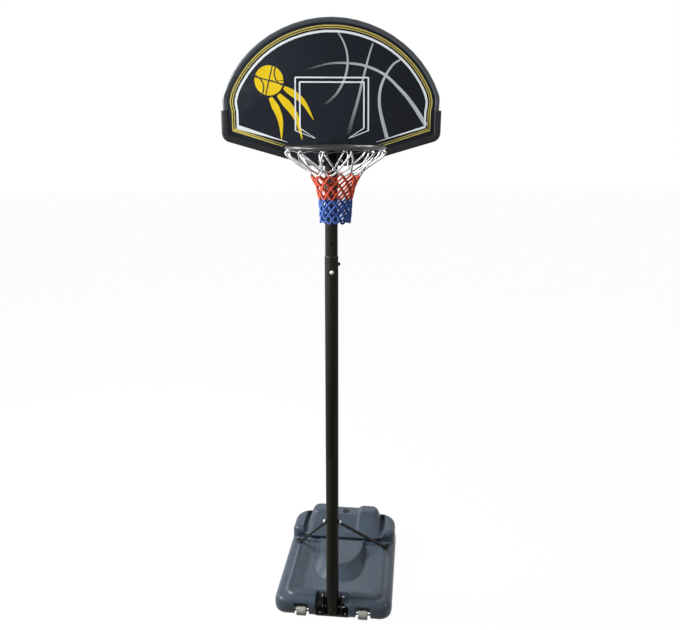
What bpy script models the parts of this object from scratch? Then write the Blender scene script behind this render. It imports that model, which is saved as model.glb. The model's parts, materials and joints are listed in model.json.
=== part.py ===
"""Adjustable basketball stand: a ballast tank on two transport wheels, a pole of three tubes whose
top tube slides for height, a moulded board on two steel brackets, and a ring with a knotted net.

X runs to the right, Y to the back and Z up, in metres. The pole's axis stands at X = Y = 0 and the
floor is Z = 0. The stand is modelled as it was photographed: with its ring 2.90 m up, one hole below
its highest setting, and with its base turned a little in the pole's slip joint."""

import math

import bmesh
import bpy
from mathutils import Matrix, Vector

# Clearances
SEAT_GAP = 0.0003
HOLE_GAP = 0.0006
RUNNING_GAP = 0.00012

# How far the base is turned against the board
BASE_TURN = math.radians(-9.1)

# Ballast tank
TANK_HALF_WIDTH = 0.373
TANK_FRONT = -0.045
TANK_BACK = 0.930
BORDER_TOP = 0.118
DECK_TOP = 0.096
SHOULDER_TOP = 0.200
BLOCK_TOP = 0.265
SADDLE_TOP = 0.243
LIP_FRONT = 0.632
SHOULDER_FRONT = 0.651
RECESS_HALF_WIDTH = 0.105
RECESS_FLOOR = 0.016
FILLER_Y = 0.842
FILLER_RADIUS = 0.0185

# Wheels
WHEEL_RADIUS = 0.032
WHEEL_HALF_WIDTH = 0.029
WHEEL_X = 0.1943
AXLE_Y = -0.0275
AXLE_Z = 0.035
AXLE_RADIUS = 0.005
NOTCH_HALF_WIDTH = 0.045
NOTCH_TOP = 0.090

# Pole
OUTER_RADIUS = 0.038
INNER_RADIUS = 0.035
TUBE_WALL = 0.0015
JOINT_Z = 1.100
MOUTH_Z = 2.300
UPPER_BOTTOM_Z = 1.820
UPPER_TOP_Z = 3.400
HOLE_PITCH = 0.150
HEIGHT_BOLT_Z = 2.218
CLAMP_Z = 2.257
HOLES_BELOW = 1
HOLES_ABOVE = 4

# Struts
STRUT_BOLT_Z = 0.660
STRUT_FOOT_X = 0.316
STRUT_FOOT_Y = 0.621
STRUT_RADIUS = 0.010
TAB_HALF_WIDTH = 0.013
TAB_HALF_THICKNESS = 0.002

# Board, with its heights counted from its lower edge
BOARD_Z = 2.795
BOARD_HALF_WIDTH = 0.560
BORDER_SIDE = 0.548
STEP_HEIGHT = 0.255
ARCH_RADIUS = 0.575
ARCH_CENTRE = 0.145
SHOULDER_RADIUS = 0.120
CORNER_HEIGHT = 0.119
CORNER_RADIUS = 0.045
FLAT_HALF_WIDTH = 0.110
BOTTOM_RADIUS = 0.100
FRAME_FRONT = -0.121
GUARD_FRONT = -0.123
PANEL_FRONT = -0.118
PANEL_BACK = -0.1125
BOARD_BACK = -0.0915

# Ring and net
RING_HEIGHT = 2.900
RING_CENTRE_Y = -0.515
RING_RADIUS = 0.2265
RING_BAR_RADIUS = 0.008
HOOK_COUNT = 12
HOOK_WIRE_RADIUS = 0.0025
HOOK_DROP = 0.016
CORD_WIDTH = 0.0055

# Fasteners
SHANK_RADIUS = 0.004
HEAD_RADIUS = 0.0078
HEAD_HEIGHT = 0.0055


def remove_everything():
    for thing in list(bpy.data.objects):
        bpy.data.objects.remove(thing, do_unlink=True)


def finish(name, colour, roughness, metallic=0.0):
    """One Principled material, made the first time its name is asked for."""
    made = bpy.data.materials.get(name)
    if made is None:
        made = bpy.data.materials.new(name)
        made.use_nodes = True
        shader = made.node_tree.nodes["Principled BSDF"]
        shader.inputs["Base Color"].default_value = (*colour, 1.0)
        shader.inputs["Roughness"].default_value = roughness
        shader.inputs["Metallic"].default_value = metallic
    return made


def tank_plastic():
    return finish("tank_plastic", (0.078, 0.098, 0.125), 0.45)


def pole_paint():
    return finish("pole_paint", (0.016, 0.016, 0.014), 0.35, 0.3)


def zinc():
    return finish("zinc", (0.62, 0.63, 0.64), 0.3, 1.0)


def black_plastic():
    return finish("black_plastic", (0.012, 0.012, 0.013), 0.5)


# Shapes

def add_object(name, shape, surface=None, sharp_angle=35.0):
    """Turn a bmesh into an object, shaded smooth except at its sharp edges."""
    bmesh.ops.recalc_face_normals(shape, faces=shape.faces)
    mesh = bpy.data.meshes.new(name)
    shape.to_mesh(mesh)
    shape.free()
    mesh.shade_smooth()
    mesh.set_sharp_from_angle(angle=math.radians(sharp_angle))
    if surface is not None:
        mesh.materials.append(surface)
    made = bpy.data.objects.new(name, mesh)
    bpy.context.scene.collection.objects.link(made)
    return made


def combine(target, shape, operation, label):
    """Join a shape to an object, or cut it away, with a live Boolean and a hidden guide."""
    guide = add_object(f"{target.name}_{label}", shape)
    guide.hide_render = True
    guide.display_type = "WIRE"
    modifier = target.modifiers.new(label, "BOOLEAN")
    modifier.operation = operation
    modifier.solver = "EXACT"
    modifier.object = guide


def assemble(name, surface, parts, cuts=()):
    """Build an object from shapes that overlap each other, then cut the given shapes out of it."""
    made = add_object(name, parts[0], surface)
    for number, shape in enumerate(parts[1:], start=1):
        combine(made, shape, "UNION", f"join_{number}")
    for number, shape in enumerate(cuts, start=1):
        combine(made, shape, "DIFFERENCE", f"cut_{number}")
    return made


def loft(rings, loop=False):
    """Skin closed rings of points in order. The two ends are capped, unless the rings form a loop."""
    shape = bmesh.new()
    rows = [[shape.verts.new(point) for point in ring] for ring in rings]
    pairs = list(zip(rows, rows[1:]))
    if loop:
        pairs.append((rows[-1], rows[0]))
    for first, second in pairs:
        count = len(first)
        for i in range(count):
            j = (i + 1) % count
            shape.faces.new((first[i], first[j], second[j], second[i]))
    if not loop:
        shape.faces.new(rows[0][::-1])
        shape.faces.new(rows[-1])
    return shape


def across(axis):
    """Two unit vectors square to an axis and to each other."""
    axis = Vector(axis).normalized()
    side = Vector((0, 0, 1)) if abs(axis.z) < 0.9 else Vector((1, 0, 0))
    first = side.cross(axis).normalized()
    return first, axis.cross(first)


def ring_of_points(centre, axis, radii):
    """Points round an axis, one for each radius given."""
    first, second = across(axis)
    points = []
    for number, radius in enumerate(radii):
        angle = 2 * math.pi * number / len(radii)
        points.append(centre + radius * (math.cos(angle) * first + math.sin(angle) * second))
    return points


def turned(centre, axis, stations, steps=16):
    """A solid turned about an axis. Each station is its place along the axis and its radius."""
    centre, axis = Vector(centre), Vector(axis).normalized()
    rings = [ring_of_points(centre + along * axis, axis, [radius] * steps) for along, radius in stations]
    return loft(rings)


def turned_ring(centre, axis, profile, steps=24):
    """A hollow piece: a closed profile of (along, radius) points, turned about an axis."""
    centre, axis = Vector(centre), Vector(axis).normalized()
    first, second = across(axis)
    rings = []
    for number in range(steps):
        angle = 2 * math.pi * number / steps
        outward = math.cos(angle) * first + math.sin(angle) * second
        rings.append([centre + along * axis + radius * outward for along, radius in profile])
    return loft(rings, loop=True)


def gather(shapes):
    """Put separate shapes into one bmesh, for a cutter that works in several places."""
    gathered = bmesh.new()
    for shape in shapes:
        mesh = bpy.data.meshes.new("gathered")
        bmesh.ops.recalc_face_normals(shape, faces=shape.faces)
        shape.to_mesh(mesh)
        shape.free()
        gathered.from_mesh(mesh)
        bpy.data.meshes.remove(mesh)
    return gathered


def box(low, high, bevel=0.0, segments=2):
    shape = bmesh.new()
    bmesh.ops.create_cube(shape, size=1.0)
    low, high = Vector(low), Vector(high)
    for vert in shape.verts:
        vert.co = (low + high) / 2 + vert.co * (high - low)
    if bevel:
        edges = shape.edges[:]
        bmesh.ops.bevel(shape, geom=edges, offset=bevel, segments=segments, profile=0.5, affect="EDGES")
    return shape


def plate(outline, near, far, place):
    """Extrude a flat outline from one depth to another; place turns (a, b, depth) into a point."""
    return loft([[Vector(place(a, b, depth)) for a, b in outline] for depth in (near, far)])


def in_board_plane(a, b, depth):
    return a, depth, BOARD_Z + b


def in_side_plane(a, b, depth):
    return depth, a, b


def in_front_plane(a, b, depth):
    return a, depth, b


def in_floor_plane(a, b, depth):
    return a, b, depth


def arc(centre, radius, start, end, steps):
    """Points on a flat arc, from one angle in degrees to another."""
    angles = [math.radians(start + (end - start) * step / steps) for step in range(steps + 1)]
    return [(centre[0] + radius * math.cos(a), centre[1] + radius * math.sin(a)) for a in angles]


def mirrored(points):
    return [(-x, z) for x, z in reversed(points)]


# Ballast tank

def plan(half_width, front, back, front_radius, back_radius, steps=5):
    """A rectangle with round corners, seen from above."""
    corners = (
        (-1, front, front_radius, 180),
        (1, front, front_radius, 270),
        (1, back, back_radius, 0),
        (-1, back, back_radius, 90),
    )
    points = []
    for side, edge, radius, start in corners:
        inward = 1 if edge == front else -1
        centre = (side * (half_width - radius), edge + inward * radius)
        points += arc(centre, radius, start, start + 90, steps)
    return points


def stacked(levels):
    """Stack plans. A level is a height, a half width, a front, a back and two corner radii."""
    return loft([[Vector((x, y, z)) for x, y in plan(*sizes)] for z, *sizes in levels])


def cushion(edges, half_width, front, back, front_radius, back_radius):
    """A solid with rounded edges: each edge entry is a height and how far the plan is drawn in."""
    levels = []
    for z, inset in edges:
        radii = [max(radius - inset, 0.008) for radius in (front_radius, back_radius)]
        levels.append((z, half_width - inset, front + inset, back - inset, *radii))
    return stacked(levels)


def rounded_levels(bottom, top, bottom_radius, top_radius, steps=3):
    """Heights and insets of a wall whose lower and upper edges are rounded."""
    levels = []
    for step in range(steps + 1):
        angle = math.pi / 2 * step / steps
        rise = bottom_radius * (1 - math.cos(angle))
        levels.append((bottom + rise, bottom_radius * (1 - math.sin(angle))))
    for step in range(steps + 1):
        angle = math.pi / 2 * step / steps
        levels.append((top - top_radius + top_radius * math.sin(angle), top_radius * (1 - math.cos(angle))))
    return levels


def tongue():
    """The raised middle of the deck: steep at the sides and front, with a longer slope to its crown."""
    rings = []
    rise = [(-0.04, 0.080), (0.0, 0.095), (0.16, 0.101), (0.5, 0.124), (0.84, 0.147)]
    rise += [(1.0, 0.152), (1.2, 0.154)]
    for share, z in rise:
        front = 0.187 + 0.141 * share
        middle = 0.330 + 0.225 * share
        half_width = 0.158 - 0.018 * share
        back_half_width = 0.190 - 0.042 * share
        nose = [(half_width * x, middle + (middle - front) * y) for x, y in arc((0, 0), 1.0, 180, 360, 14)]
        outline = [(-back_half_width, 0.690), *nose, (back_half_width, 0.690)]
        rings.append([Vector((x, y, z)) for x, y in outline])
    return loft(rings)


def rear_block():
    """The filling block: a low lip in front, a long slope, and sides that lean in to a flat top."""
    sections = (
        (0.090, 0.281, LIP_FRONT + 0.006, 0.070),
        (0.140, 0.281, LIP_FRONT + 0.006, 0.070),
        (0.149, 0.280, LIP_FRONT - 0.002, 0.070),
        (0.157, 0.278, LIP_FRONT - 0.002, 0.069),
        (0.164, 0.274, LIP_FRONT + 0.004, 0.067),
        (0.171, 0.269, LIP_FRONT + 0.016, 0.064),
        (0.245, 0.241, 0.785, 0.042),
        (0.258, 0.233, 0.800, 0.038),
        (BLOCK_TOP, 0.222, 0.814, 0.034),
    )
    levels = []
    for z, half_width, front, radius in sections:
        back = TANK_BACK - 0.006 - 0.30 * max(z - 0.165, 0.0)
        levels.append((z, half_width, front, back, radius, radius))
    return stacked(levels)


def valley_cutter():
    """Clears the middle between the two shoulders, for the block: its sides lean out at the top."""
    levels = []
    for z, half_width in ((0.158, 0.276), (0.174, 0.281), (0.188, 0.285), (0.204, 0.296)):
        levels.append((z, half_width, 0.600, 0.905, 0.020, 0.030))
    return stacked(levels)


def saddle_cutter():
    """A shallow trough down the front slope and across the top, with sloping sides between two humps."""
    bed = [(0.668, 0.1735), (0.690, 0.184), (0.800, SADDLE_TOP), (0.970, SADDLE_TOP)]
    outline = [*bed, (0.970, 0.330), (0.668, 0.330)]
    rings = []
    for x, rise in ((-0.122, 0.026), (-0.092, 0.0), (0.092, 0.0), (0.122, 0.026)):
        lifted = [(y, z + rise if z < 0.3 else z) for y, z in outline]
        rings.append([in_side_plane(y, z, x) for y, z in lifted])
    return loft(rings)


def recess_cutter():
    """The housing of the pole's foot, open to the front, with a steep wall behind the pole."""
    floor = [(-0.090, RECESS_FLOOR), (0.060, RECESS_FLOOR), (0.072, 0.021), (0.079, 0.034)]
    outline = [*floor, (0.091, 0.080), (0.099, 0.096), (0.116, 0.107), (0.124, 0.250), (-0.090, 0.250)]
    return plate(outline, -RECESS_HALF_WIDTH, RECESS_HALF_WIDTH, in_side_plane)


def notch_cutter(side):
    """The housing of one wheel, round at the back and open to the front and below."""
    round_off = 0.050
    back = 0.034
    profile = [(-0.090, -0.010), (back, -0.010)]
    profile += arc((back - round_off, NOTCH_TOP - round_off), round_off, 0, 90, 6)
    profile += [(-0.090, NOTCH_TOP)]
    middle = side * WHEEL_X
    return plate(profile, middle - NOTCH_HALF_WIDTH, middle + NOTCH_HALF_WIDTH, in_side_plane)


BRACKET_SCREWS = [(side * 0.079, y) for side in (-1, 1) for y in (-0.020, 0.034)]
PLUG_PLACES = [(side * 0.246, 0.607) for side in (-1, 1)]
FOOT_PLACES = [(side * STRUT_FOOT_X, STRUT_FOOT_Y) for side in (-1, 1)]


def build_tank():
    edges = rounded_levels(0.0, BORDER_TOP, 0.040, 0.040)
    body = cushion(edges, TANK_HALF_WIDTH, TANK_FRONT, TANK_BACK, 0.075, 0.125)
    tank = add_object("base_tank", body, tank_plastic())
    pocket = (
        (DECK_TOP, 0.279, 0.070, 0.568, 0.045, 0.030),
        (DECK_TOP + 0.003, 0.284, 0.058, 0.573, 0.048, 0.033),
        (BORDER_TOP - 0.005, 0.294, 0.028, 0.583, 0.055, 0.040),
        (BORDER_TOP + 0.002, 0.301, 0.012, 0.591, 0.060, 0.045),
    )
    combine(tank, stacked(pocket), "DIFFERENCE", "deck")
    combine(tank, tongue(), "UNION", "tongue")
    edges = rounded_levels(0.050, SHOULDER_TOP, 0.010, 0.035)
    shoulders = cushion(edges, 0.367, SHOULDER_FRONT, TANK_BACK - 0.004, 0.045, 0.120)
    combine(tank, shoulders, "UNION", "shoulders")
    combine(tank, valley_cutter(), "DIFFERENCE", "valley")
    combine(tank, rear_block(), "UNION", "block")
    combine(tank, saddle_cutter(), "DIFFERENCE", "saddle")
    channel = [(0.596, 0.170), (0.598, 0.150), (0.603, 0.139), (0.611, 0.133)]
    channel += [(LIP_FRONT - 0.004, 0.132), (LIP_FRONT + 0.006, 0.136), (LIP_FRONT + 0.006, 0.146)]
    channel += [(LIP_FRONT - 0.004, 0.152), (LIP_FRONT - 0.004, 0.170)]
    groove = plate(channel, -0.212, 0.212, in_side_plane)
    combine(tank, groove, "DIFFERENCE", "groove")
    toe_edges = ((0.0, 0.005), (0.005, 0.0), (0.020, 0.0))
    toe = cushion(toe_edges, RECESS_HALF_WIDTH + 0.006, -0.031, 0.060, 0.012, 0.012)
    combine(tank, toe, "UNION", "toe")
    combine(tank, recess_cutter(), "DIFFERENCE", "recess")
    for side, word in ((-1, "left"), (1, "right")):
        combine(tank, notch_cutter(side), "DIFFERENCE", f"notch_{word}")
    axle_bore = AXLE_RADIUS + HOLE_GAP
    reach = NOTCH_HALF_WIDTH + 0.020
    bores = [
        turned((side * WHEEL_X, AXLE_Y, AXLE_Z), (1, 0, 0), ((-reach, axle_bore), (reach, axle_bore)), 12)
        for side in (-1, 1)
    ]
    bores.append(turned((0, FILLER_Y, 0), (0, 0, 1), ((0.215, FILLER_RADIUS), (0.300, FILLER_RADIUS)), 16))
    for x, y in BRACKET_SCREWS:
        bores.append(turned((x, y, 0), (0, 0, 1), ((0.004, 0.0036), (0.030, 0.0036)), 8))
    for x, y in FOOT_PLACES:
        bores.append(turned((x, y, 0), (0, 0, 1), ((0.090, 0.0046), (0.140, 0.0046)), 8))
    for x, y in PLUG_PLACES:
        bores.append(turned((x, y, 0), (0, 0, 1), ((0.104, 0.0086), (0.150, 0.0086)), 12))
    combine(tank, gather(bores), "DIFFERENCE", "bores")


def build_filler_cap():
    plug = FILLER_RADIUS - HOLE_GAP
    seat = SADDLE_TOP + SEAT_GAP
    stations = (
        (seat - 0.018, plug - 0.001),
        (seat - 0.016, plug),
        (seat, plug),
        (seat, 0.0225),
        (seat + 0.004, 0.0225),
        (seat + 0.006, 0.021),
    )
    body = turned((0, FILLER_Y, 0), (0, 0, 1), stations)
    grip = box((-0.014, FILLER_Y - 0.003, seat + 0.002), (0.014, FILLER_Y + 0.003, seat + 0.014), 0.0015, 1)
    assemble("filler_cap", black_plastic(), [body, grip])


def build_deck_plugs():
    seat = BORDER_TOP + SEAT_GAP
    stations = (
        (seat - 0.011, 0.007),
        (seat - 0.009, 0.008),
        (seat, 0.008),
        (seat, 0.012),
        (seat + 0.003, 0.0115),
        (seat + 0.006, 0.007),
    )
    for (x, y), word in zip(PLUG_PLACES, ("left", "right")):
        add_object(f"deck_plug_{word}", turned((x, y, 0), (0, 0, 1), stations, 12), black_plastic())


def build_wheels():
    """Grey wheels with a dished hub, each on its own steel pin."""
    grey = finish("wheel_plastic", (0.23, 0.23, 0.215), 0.6)
    w, r, bore = WHEEL_HALF_WIDTH, WHEEL_RADIUS, AXLE_RADIUS + RUNNING_GAP
    hub, rim = 0.011, r - 0.008
    half = [(w, bore), (w, hub), (w - 0.007, hub + 0.002), (w - 0.007, rim - 0.002), (w, rim)]
    half += [(w, r - 0.003), (w - 0.003, r)]
    profile = half + [(-along, radius) for along, radius in reversed(half)]
    for side, word in ((-1, "left"), (1, "right")):
        centre = (side * WHEEL_X, AXLE_Y, AXLE_Z)
        add_object(f"wheel_{word}", turned_ring(centre, (1, 0, 0), profile, 24), grey)
        reach = NOTCH_HALF_WIDTH + 0.018
        pin = turned(centre, (1, 0, 0), ((-reach, AXLE_RADIUS), (reach, AXLE_RADIUS)), 12)
        add_object(f"axle_pin_{word}", pin, pole_paint())


# Fasteners

def hexagon(radius, sides=12):
    """Radii that draw a hexagon: its corners, and with twelve also the middles of its sides."""
    flat = radius * math.cos(math.pi / 6)
    return [radius if number % (sides // 6) == 0 else flat for number in range(sides)]


def bolt(name, head_seat, tip, nut_seat=None, shank=SHANK_RADIUS, head=HEAD_RADIUS,
         height=HEAD_HEIGHT, sides=6, surface=zinc):
    """A hexagon bolt from the face that its head sits on to its tip, with a nut at nut_seat if given."""
    head_seat, tip = Vector(head_seat), Vector(tip)
    axis = (tip - head_seat).normalized()
    rings = [
        ring_of_points(head_seat - height * axis, axis, hexagon(head, sides)),
        ring_of_points(head_seat, axis, hexagon(head, sides)),
        ring_of_points(head_seat, axis, [shank] * sides),
    ]
    if nut_seat is not None:
        nut_seat = Vector(nut_seat)
        rings += [
            ring_of_points(nut_seat, axis, [shank] * sides),
            ring_of_points(nut_seat, axis, hexagon(head, sides)),
            ring_of_points(nut_seat + height * axis, axis, hexagon(head, sides)),
            ring_of_points(nut_seat + height * axis, axis, [shank] * sides),
        ]
    rings.append(ring_of_points(tip, axis, [shank] * sides))
    return add_object(name, loft(rings), surface())


# Pole

def cross_hole(z, radius, axis, reach, y=0.0, x=0.0):
    return turned((x, y, z), axis, ((-reach, radius), (reach, radius)), 8)


def board_bore(x, z, near, far, radius):
    """A bore through the board's plates, from y near to y far, z metres above the board's lower edge."""
    return turned((x, 0, BOARD_Z + z), (0, 1, 0), ((near, radius), (far, radius)), 8)


def bar_profile(radius):
    """The ring bar's round section, as offsets along and out from the ring's axis."""
    turns = [math.radians(angle) for angle in range(0, 360, 45)]
    return [(radius * math.sin(turn), RING_RADIUS + radius * math.cos(turn)) for turn in turns]


FOOT_BOLT_HEIGHTS = (0.058, 0.132)
CHEEK_INNER = 0.056
CHEEK_OUTER = 0.060


def build_lower_pole():
    """The foot tube. Its upper end is drawn in, so that the middle tube slips over it."""
    neck = OUTER_RADIUS - TUBE_WALL - 0.0004
    profile = [
        (RECESS_FLOOR + SEAT_GAP, OUTER_RADIUS),
        (JOINT_Z - 0.006, OUTER_RADIUS),
        (JOINT_Z - 0.001, neck),
        (JOINT_Z + 0.100, neck),
        (JOINT_Z + 0.100, neck - TUBE_WALL),
        (JOINT_Z - 0.003, neck - TUBE_WALL),
        (JOINT_Z - 0.008, OUTER_RADIUS - TUBE_WALL),
        (RECESS_FLOOR + SEAT_GAP, OUTER_RADIUS - TUBE_WALL),
    ]
    heights = (*FOOT_BOLT_HEIGHTS, STRUT_BOLT_Z)
    holes = [cross_hole(z, SHANK_RADIUS + HOLE_GAP, (1, 0, 0), 0.060) for z in heights]
    assemble("lower_pole", pole_paint(), [turned_ring((0, 0, 0), (0, 0, 1), profile)], [gather(holes)])


def build_middle_pole():
    inner = OUTER_RADIUS - TUBE_WALL
    profile = [(JOINT_Z, OUTER_RADIUS), (MOUTH_Z, OUTER_RADIUS), (MOUTH_Z, inner), (JOINT_Z, inner)]
    front = turned((0, -OUTER_RADIUS, HEIGHT_BOLT_Z), (0, -1, 0), ((-0.012, 0.0056), (0.010, 0.0056)), 12)
    sight_place = (0, -OUTER_RADIUS, HEIGHT_BOLT_Z - 0.033)
    sight = turned(sight_place, (0, -1, 0), ((-0.012, 0.003), (0.010, 0.003)), 8)
    side = turned((OUTER_RADIUS, 0, CLAMP_Z), (1, 0, 0), ((-0.012, 0.0046), (0.010, 0.0046)), 12)
    body = turned_ring((0, 0, 0), (0, 0, 1), profile)
    assemble("middle_pole", pole_paint(), [body], [gather([front, sight, side])])


def build_upper_pole():
    """The sliding tube, with a row of height holes in front and bolt holes across for the board."""
    inner = INNER_RADIUS - TUBE_WALL
    profile = [
        (UPPER_BOTTOM_Z, INNER_RADIUS),
        (UPPER_TOP_Z, INNER_RADIUS),
        (UPPER_TOP_Z, inner),
        (UPPER_BOTTOM_Z, inner),
    ]
    holes = []
    for number in range(-HOLES_BELOW, HOLES_ABOVE + 1):
        centre = (0, -INNER_RADIUS, HEIGHT_BOLT_Z + number * HOLE_PITCH)
        holes.append(turned(centre, (0, -1, 0), ((-0.012, 0.0056), (0.010, 0.0056)), 12))
    for height in BRACKET_BOLT_HEIGHTS:
        holes.append(cross_hole(BOARD_Z + height, SHANK_RADIUS + HOLE_GAP, (1, 0, 0), 0.050))
    assemble("upper_pole", pole_paint(), [turned_ring((0, 0, 0), (0, 0, 1), profile)], [gather(holes)])


def build_pole_fittings():
    """Plastic collar, bush and cap that guide and close the tubes."""
    seat = MOUTH_Z + SEAT_GAP
    bore, skirt = INNER_RADIUS + HOLE_GAP, OUTER_RADIUS - TUBE_WALL - SEAT_GAP
    collar = [(MOUTH_Z - 0.026, bore), (MOUTH_Z - 0.026, skirt), (seat, skirt)]
    collar += [(seat, OUTER_RADIUS - 0.0005), (seat + 0.003, OUTER_RADIUS - 0.0015), (seat + 0.003, bore)]
    add_object("guide_collar", turned_ring((0, 0, 0), (0, 0, 1), collar), black_plastic())
    inside = INNER_RADIUS - TUBE_WALL - SEAT_GAP
    rim = UPPER_BOTTOM_Z - SEAT_GAP
    bush = [(rim - 0.012, 0.030), (rim - 0.012, skirt), (rim, skirt)]
    bush += [(rim, inside), (rim + 0.022, inside), (rim + 0.022, 0.030)]
    add_object("guide_bush", turned_ring((0, 0, 0), (0, 0, 1), bush), black_plastic())
    top = UPPER_TOP_Z + SEAT_GAP
    cap = [(top - 0.018, inside), (top, inside), (top, 0.0362)]
    cap += [(top + 0.004, 0.0362), (top + 0.008, 0.032), (top + 0.010, 0.020)]
    add_object("pole_cap", turned((0, 0, 0), (0, 0, 1), cap, 24), black_plastic())


def build_height_lock():
    """The height bolt in front, and the clamp knob that turns in a nut on the tube's right side."""
    seat = -OUTER_RADIUS - SEAT_GAP
    tip = -INNER_RADIUS - 0.0009
    ends = [(0, y, HEIGHT_BOLT_Z) for y in (seat, tip)]
    bolt("height_bolt", ends[0], ends[1], shank=0.005, head=0.0105, height=0.006, sides=12)
    nut_near = OUTER_RADIUS + SEAT_GAP
    nut_far = nut_near + 0.007
    rings = []
    centre = Vector((0, 0, CLAMP_Z))
    axis = Vector((1, 0, 0))
    outside = hexagon(0.010)
    inside = [0.0046] * 12
    for along, radii in ((nut_near, outside), (nut_far, outside), (nut_far, inside), (nut_near, inside)):
        rings.append(ring_of_points(centre + along * axis, axis, radii))
    add_object("clamp_nut", loft(rings, loop=True), pole_paint())
    lobes = [1.0 + 0.10 * math.cos(3 * 2 * math.pi * number / 24) for number in range(24)]
    sections = (
        (INNER_RADIUS + 0.0009, 0.0042, 0),
        (nut_far + 0.002, 0.0042, 0),
        (nut_far + 0.002, 0.0090, 0),
        (nut_far + 0.005, 0.0145, 1),
        (nut_far + 0.013, 0.0145, 1),
        (nut_far + 0.016, 0.0110, 1),
    )
    knob = [
        ring_of_points(centre + along * axis, axis, [radius * (lobe if lobed else 1.0) for lobe in lobes])
        for along, radius, lobed in sections
    ]
    add_object("clamp_knob", loft(knob), black_plastic())


# Foot brackets and struts

def build_foot_brackets():
    """Two steel angles beside the foot of the pole, each with a gusset, screwed to the tank's floor."""
    floor = RECESS_FLOOR + SEAT_GAP
    top = floor + 0.004
    front, back = -0.036, 0.048
    cheek = [(front, floor), (back, floor), (back, 0.070), (0.018, 0.152), (-0.018, 0.152), (front, 0.110)]
    for side, word in ((-1, "left"), (1, "right")):
        inner, outer, edge = side * CHEEK_INNER, side * CHEEK_OUTER, side * 0.098
        cheek_plate = plate(cheek, min(inner, outer), max(inner, outer), in_side_plane)
        flange = box((min(inner, edge), front, floor), (max(inner, edge), back, top))
        root, tip = outer - side * 0.002, side * 0.094
        gusset = [(root, floor + 0.001), (tip, floor + 0.001), (tip, top + 0.006), (root, 0.092)]
        gusset_plate = plate(gusset, 0.013, 0.017, in_front_plane)
        seam, root = side * 0.001, inner + side * 0.002
        web = box((min(seam, root), 0.0395, floor), (max(seam, root), 0.0435, 0.100))
        bore = SHANK_RADIUS + HOLE_GAP
        holes = [cross_hole(z, bore, (1, 0, 0), 0.020, x=inner) for z in FOOT_BOLT_HEIGHTS]
        for x, y in BRACKET_SCREWS:
            if x * side > 0:
                holes.append(turned((x, y, floor), (0, 0, 1), ((-0.010, 0.0036), (0.020, 0.0036)), 8))
        plates = [flange, cheek_plate, gusset_plate, web]
        assemble(f"foot_bracket_{word}", pole_paint(), plates, [gather(holes)])
    for number, (x, y) in enumerate(BRACKET_SCREWS, start=1):
        seat = top + SEAT_GAP
        bolt(f"bracket_screw_{number}", (x, y, seat), (x, y, 0.006), shank=0.003, head=0.0065, height=0.005)
    reach = CHEEK_OUTER + SEAT_GAP
    bore = SHANK_RADIUS + HOLE_GAP
    near, far = OUTER_RADIUS + SEAT_GAP, CHEEK_INNER - SEAT_GAP
    spacer = [(near, bore), (far, bore), (far, 0.009), (near, 0.009)]
    for word, z in zip(("low", "high"), FOOT_BOLT_HEIGHTS):
        bolt(f"foot_bolt_{word}", (-reach, 0, z), (reach + 0.016, 0, z), (reach, 0, z))
        for side, hand in ((-1, "left"), (1, "right")):
            ring = turned_ring((0, 0, z), (side, 0, 0), spacer, 12)
            add_object(f"foot_spacer_{word}_{hand}", ring, black_plastic())


def strut_rings(side):
    """A tube squeezed flat at both ends: upright where it meets the pole, level where it meets the tank."""
    upper = Vector((side * (OUTER_RADIUS + 0.0006 + TAB_HALF_THICKNESS), 0, STRUT_BOLT_Z))
    lower = Vector((side * STRUT_FOOT_X, STRUT_FOOT_Y, BORDER_TOP + SEAT_GAP + TAB_HALF_THICKNESS))
    whole = lower - upper
    along_pole_tab = Vector((0, whole.y, whole.z)).normalized()
    along_tank_tab = Vector((whole.x, whole.y, 0)).normalized()
    pole_wide = Vector((0, -along_pole_tab.z, along_pole_tab.y))
    tank_wide = Vector((-side * along_tank_tab.y, side * along_tank_tab.x, 0))
    stations = [
        (upper - 0.014 * along_pole_tab, 0.0, 0.0),
        (upper + 0.014 * along_pole_tab, 0.0, 0.0),
        (upper + 0.040 * along_pole_tab + Vector((side * 0.006, 0, 0)), 0.0, 1.0),
        (lower - 0.046 * along_tank_tab + Vector((0, 0, 0.010)), 1.0, 1.0),
        (lower - 0.015 * along_tank_tab, 1.0, 0.0),
        (lower + 0.014 * along_tank_tab, 1.0, 0.0),
    ]
    main = (stations[3][0] - stations[2][0]).normalized()
    directions = [along_pole_tab, along_pole_tab, main, main, along_tank_tab, along_tank_tab]
    rings = []
    for (centre, blend, roundness), forward in zip(stations, directions):
        wide = pole_wide.lerp(tank_wide, blend)
        wide = (wide - wide.dot(forward) * forward).normalized()
        thin = forward.cross(wide)
        width = TAB_HALF_WIDTH + (STRUT_RADIUS - TAB_HALF_WIDTH) * roundness
        thickness = TAB_HALF_THICKNESS + (STRUT_RADIUS - TAB_HALF_THICKNESS) * roundness
        squareness = 0.45 + 0.55 * roundness
        ring = []
        for number in range(12):
            angle = 2 * math.pi * (number + 0.5) / 12
            c, s = math.cos(angle), math.sin(angle)
            a = math.copysign(abs(c) ** squareness, c) * width
            b = math.copysign(abs(s) ** squareness, s) * thickness
            ring.append(centre + a * wide + b * thin)
        rings.append(ring)
    return rings


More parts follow.
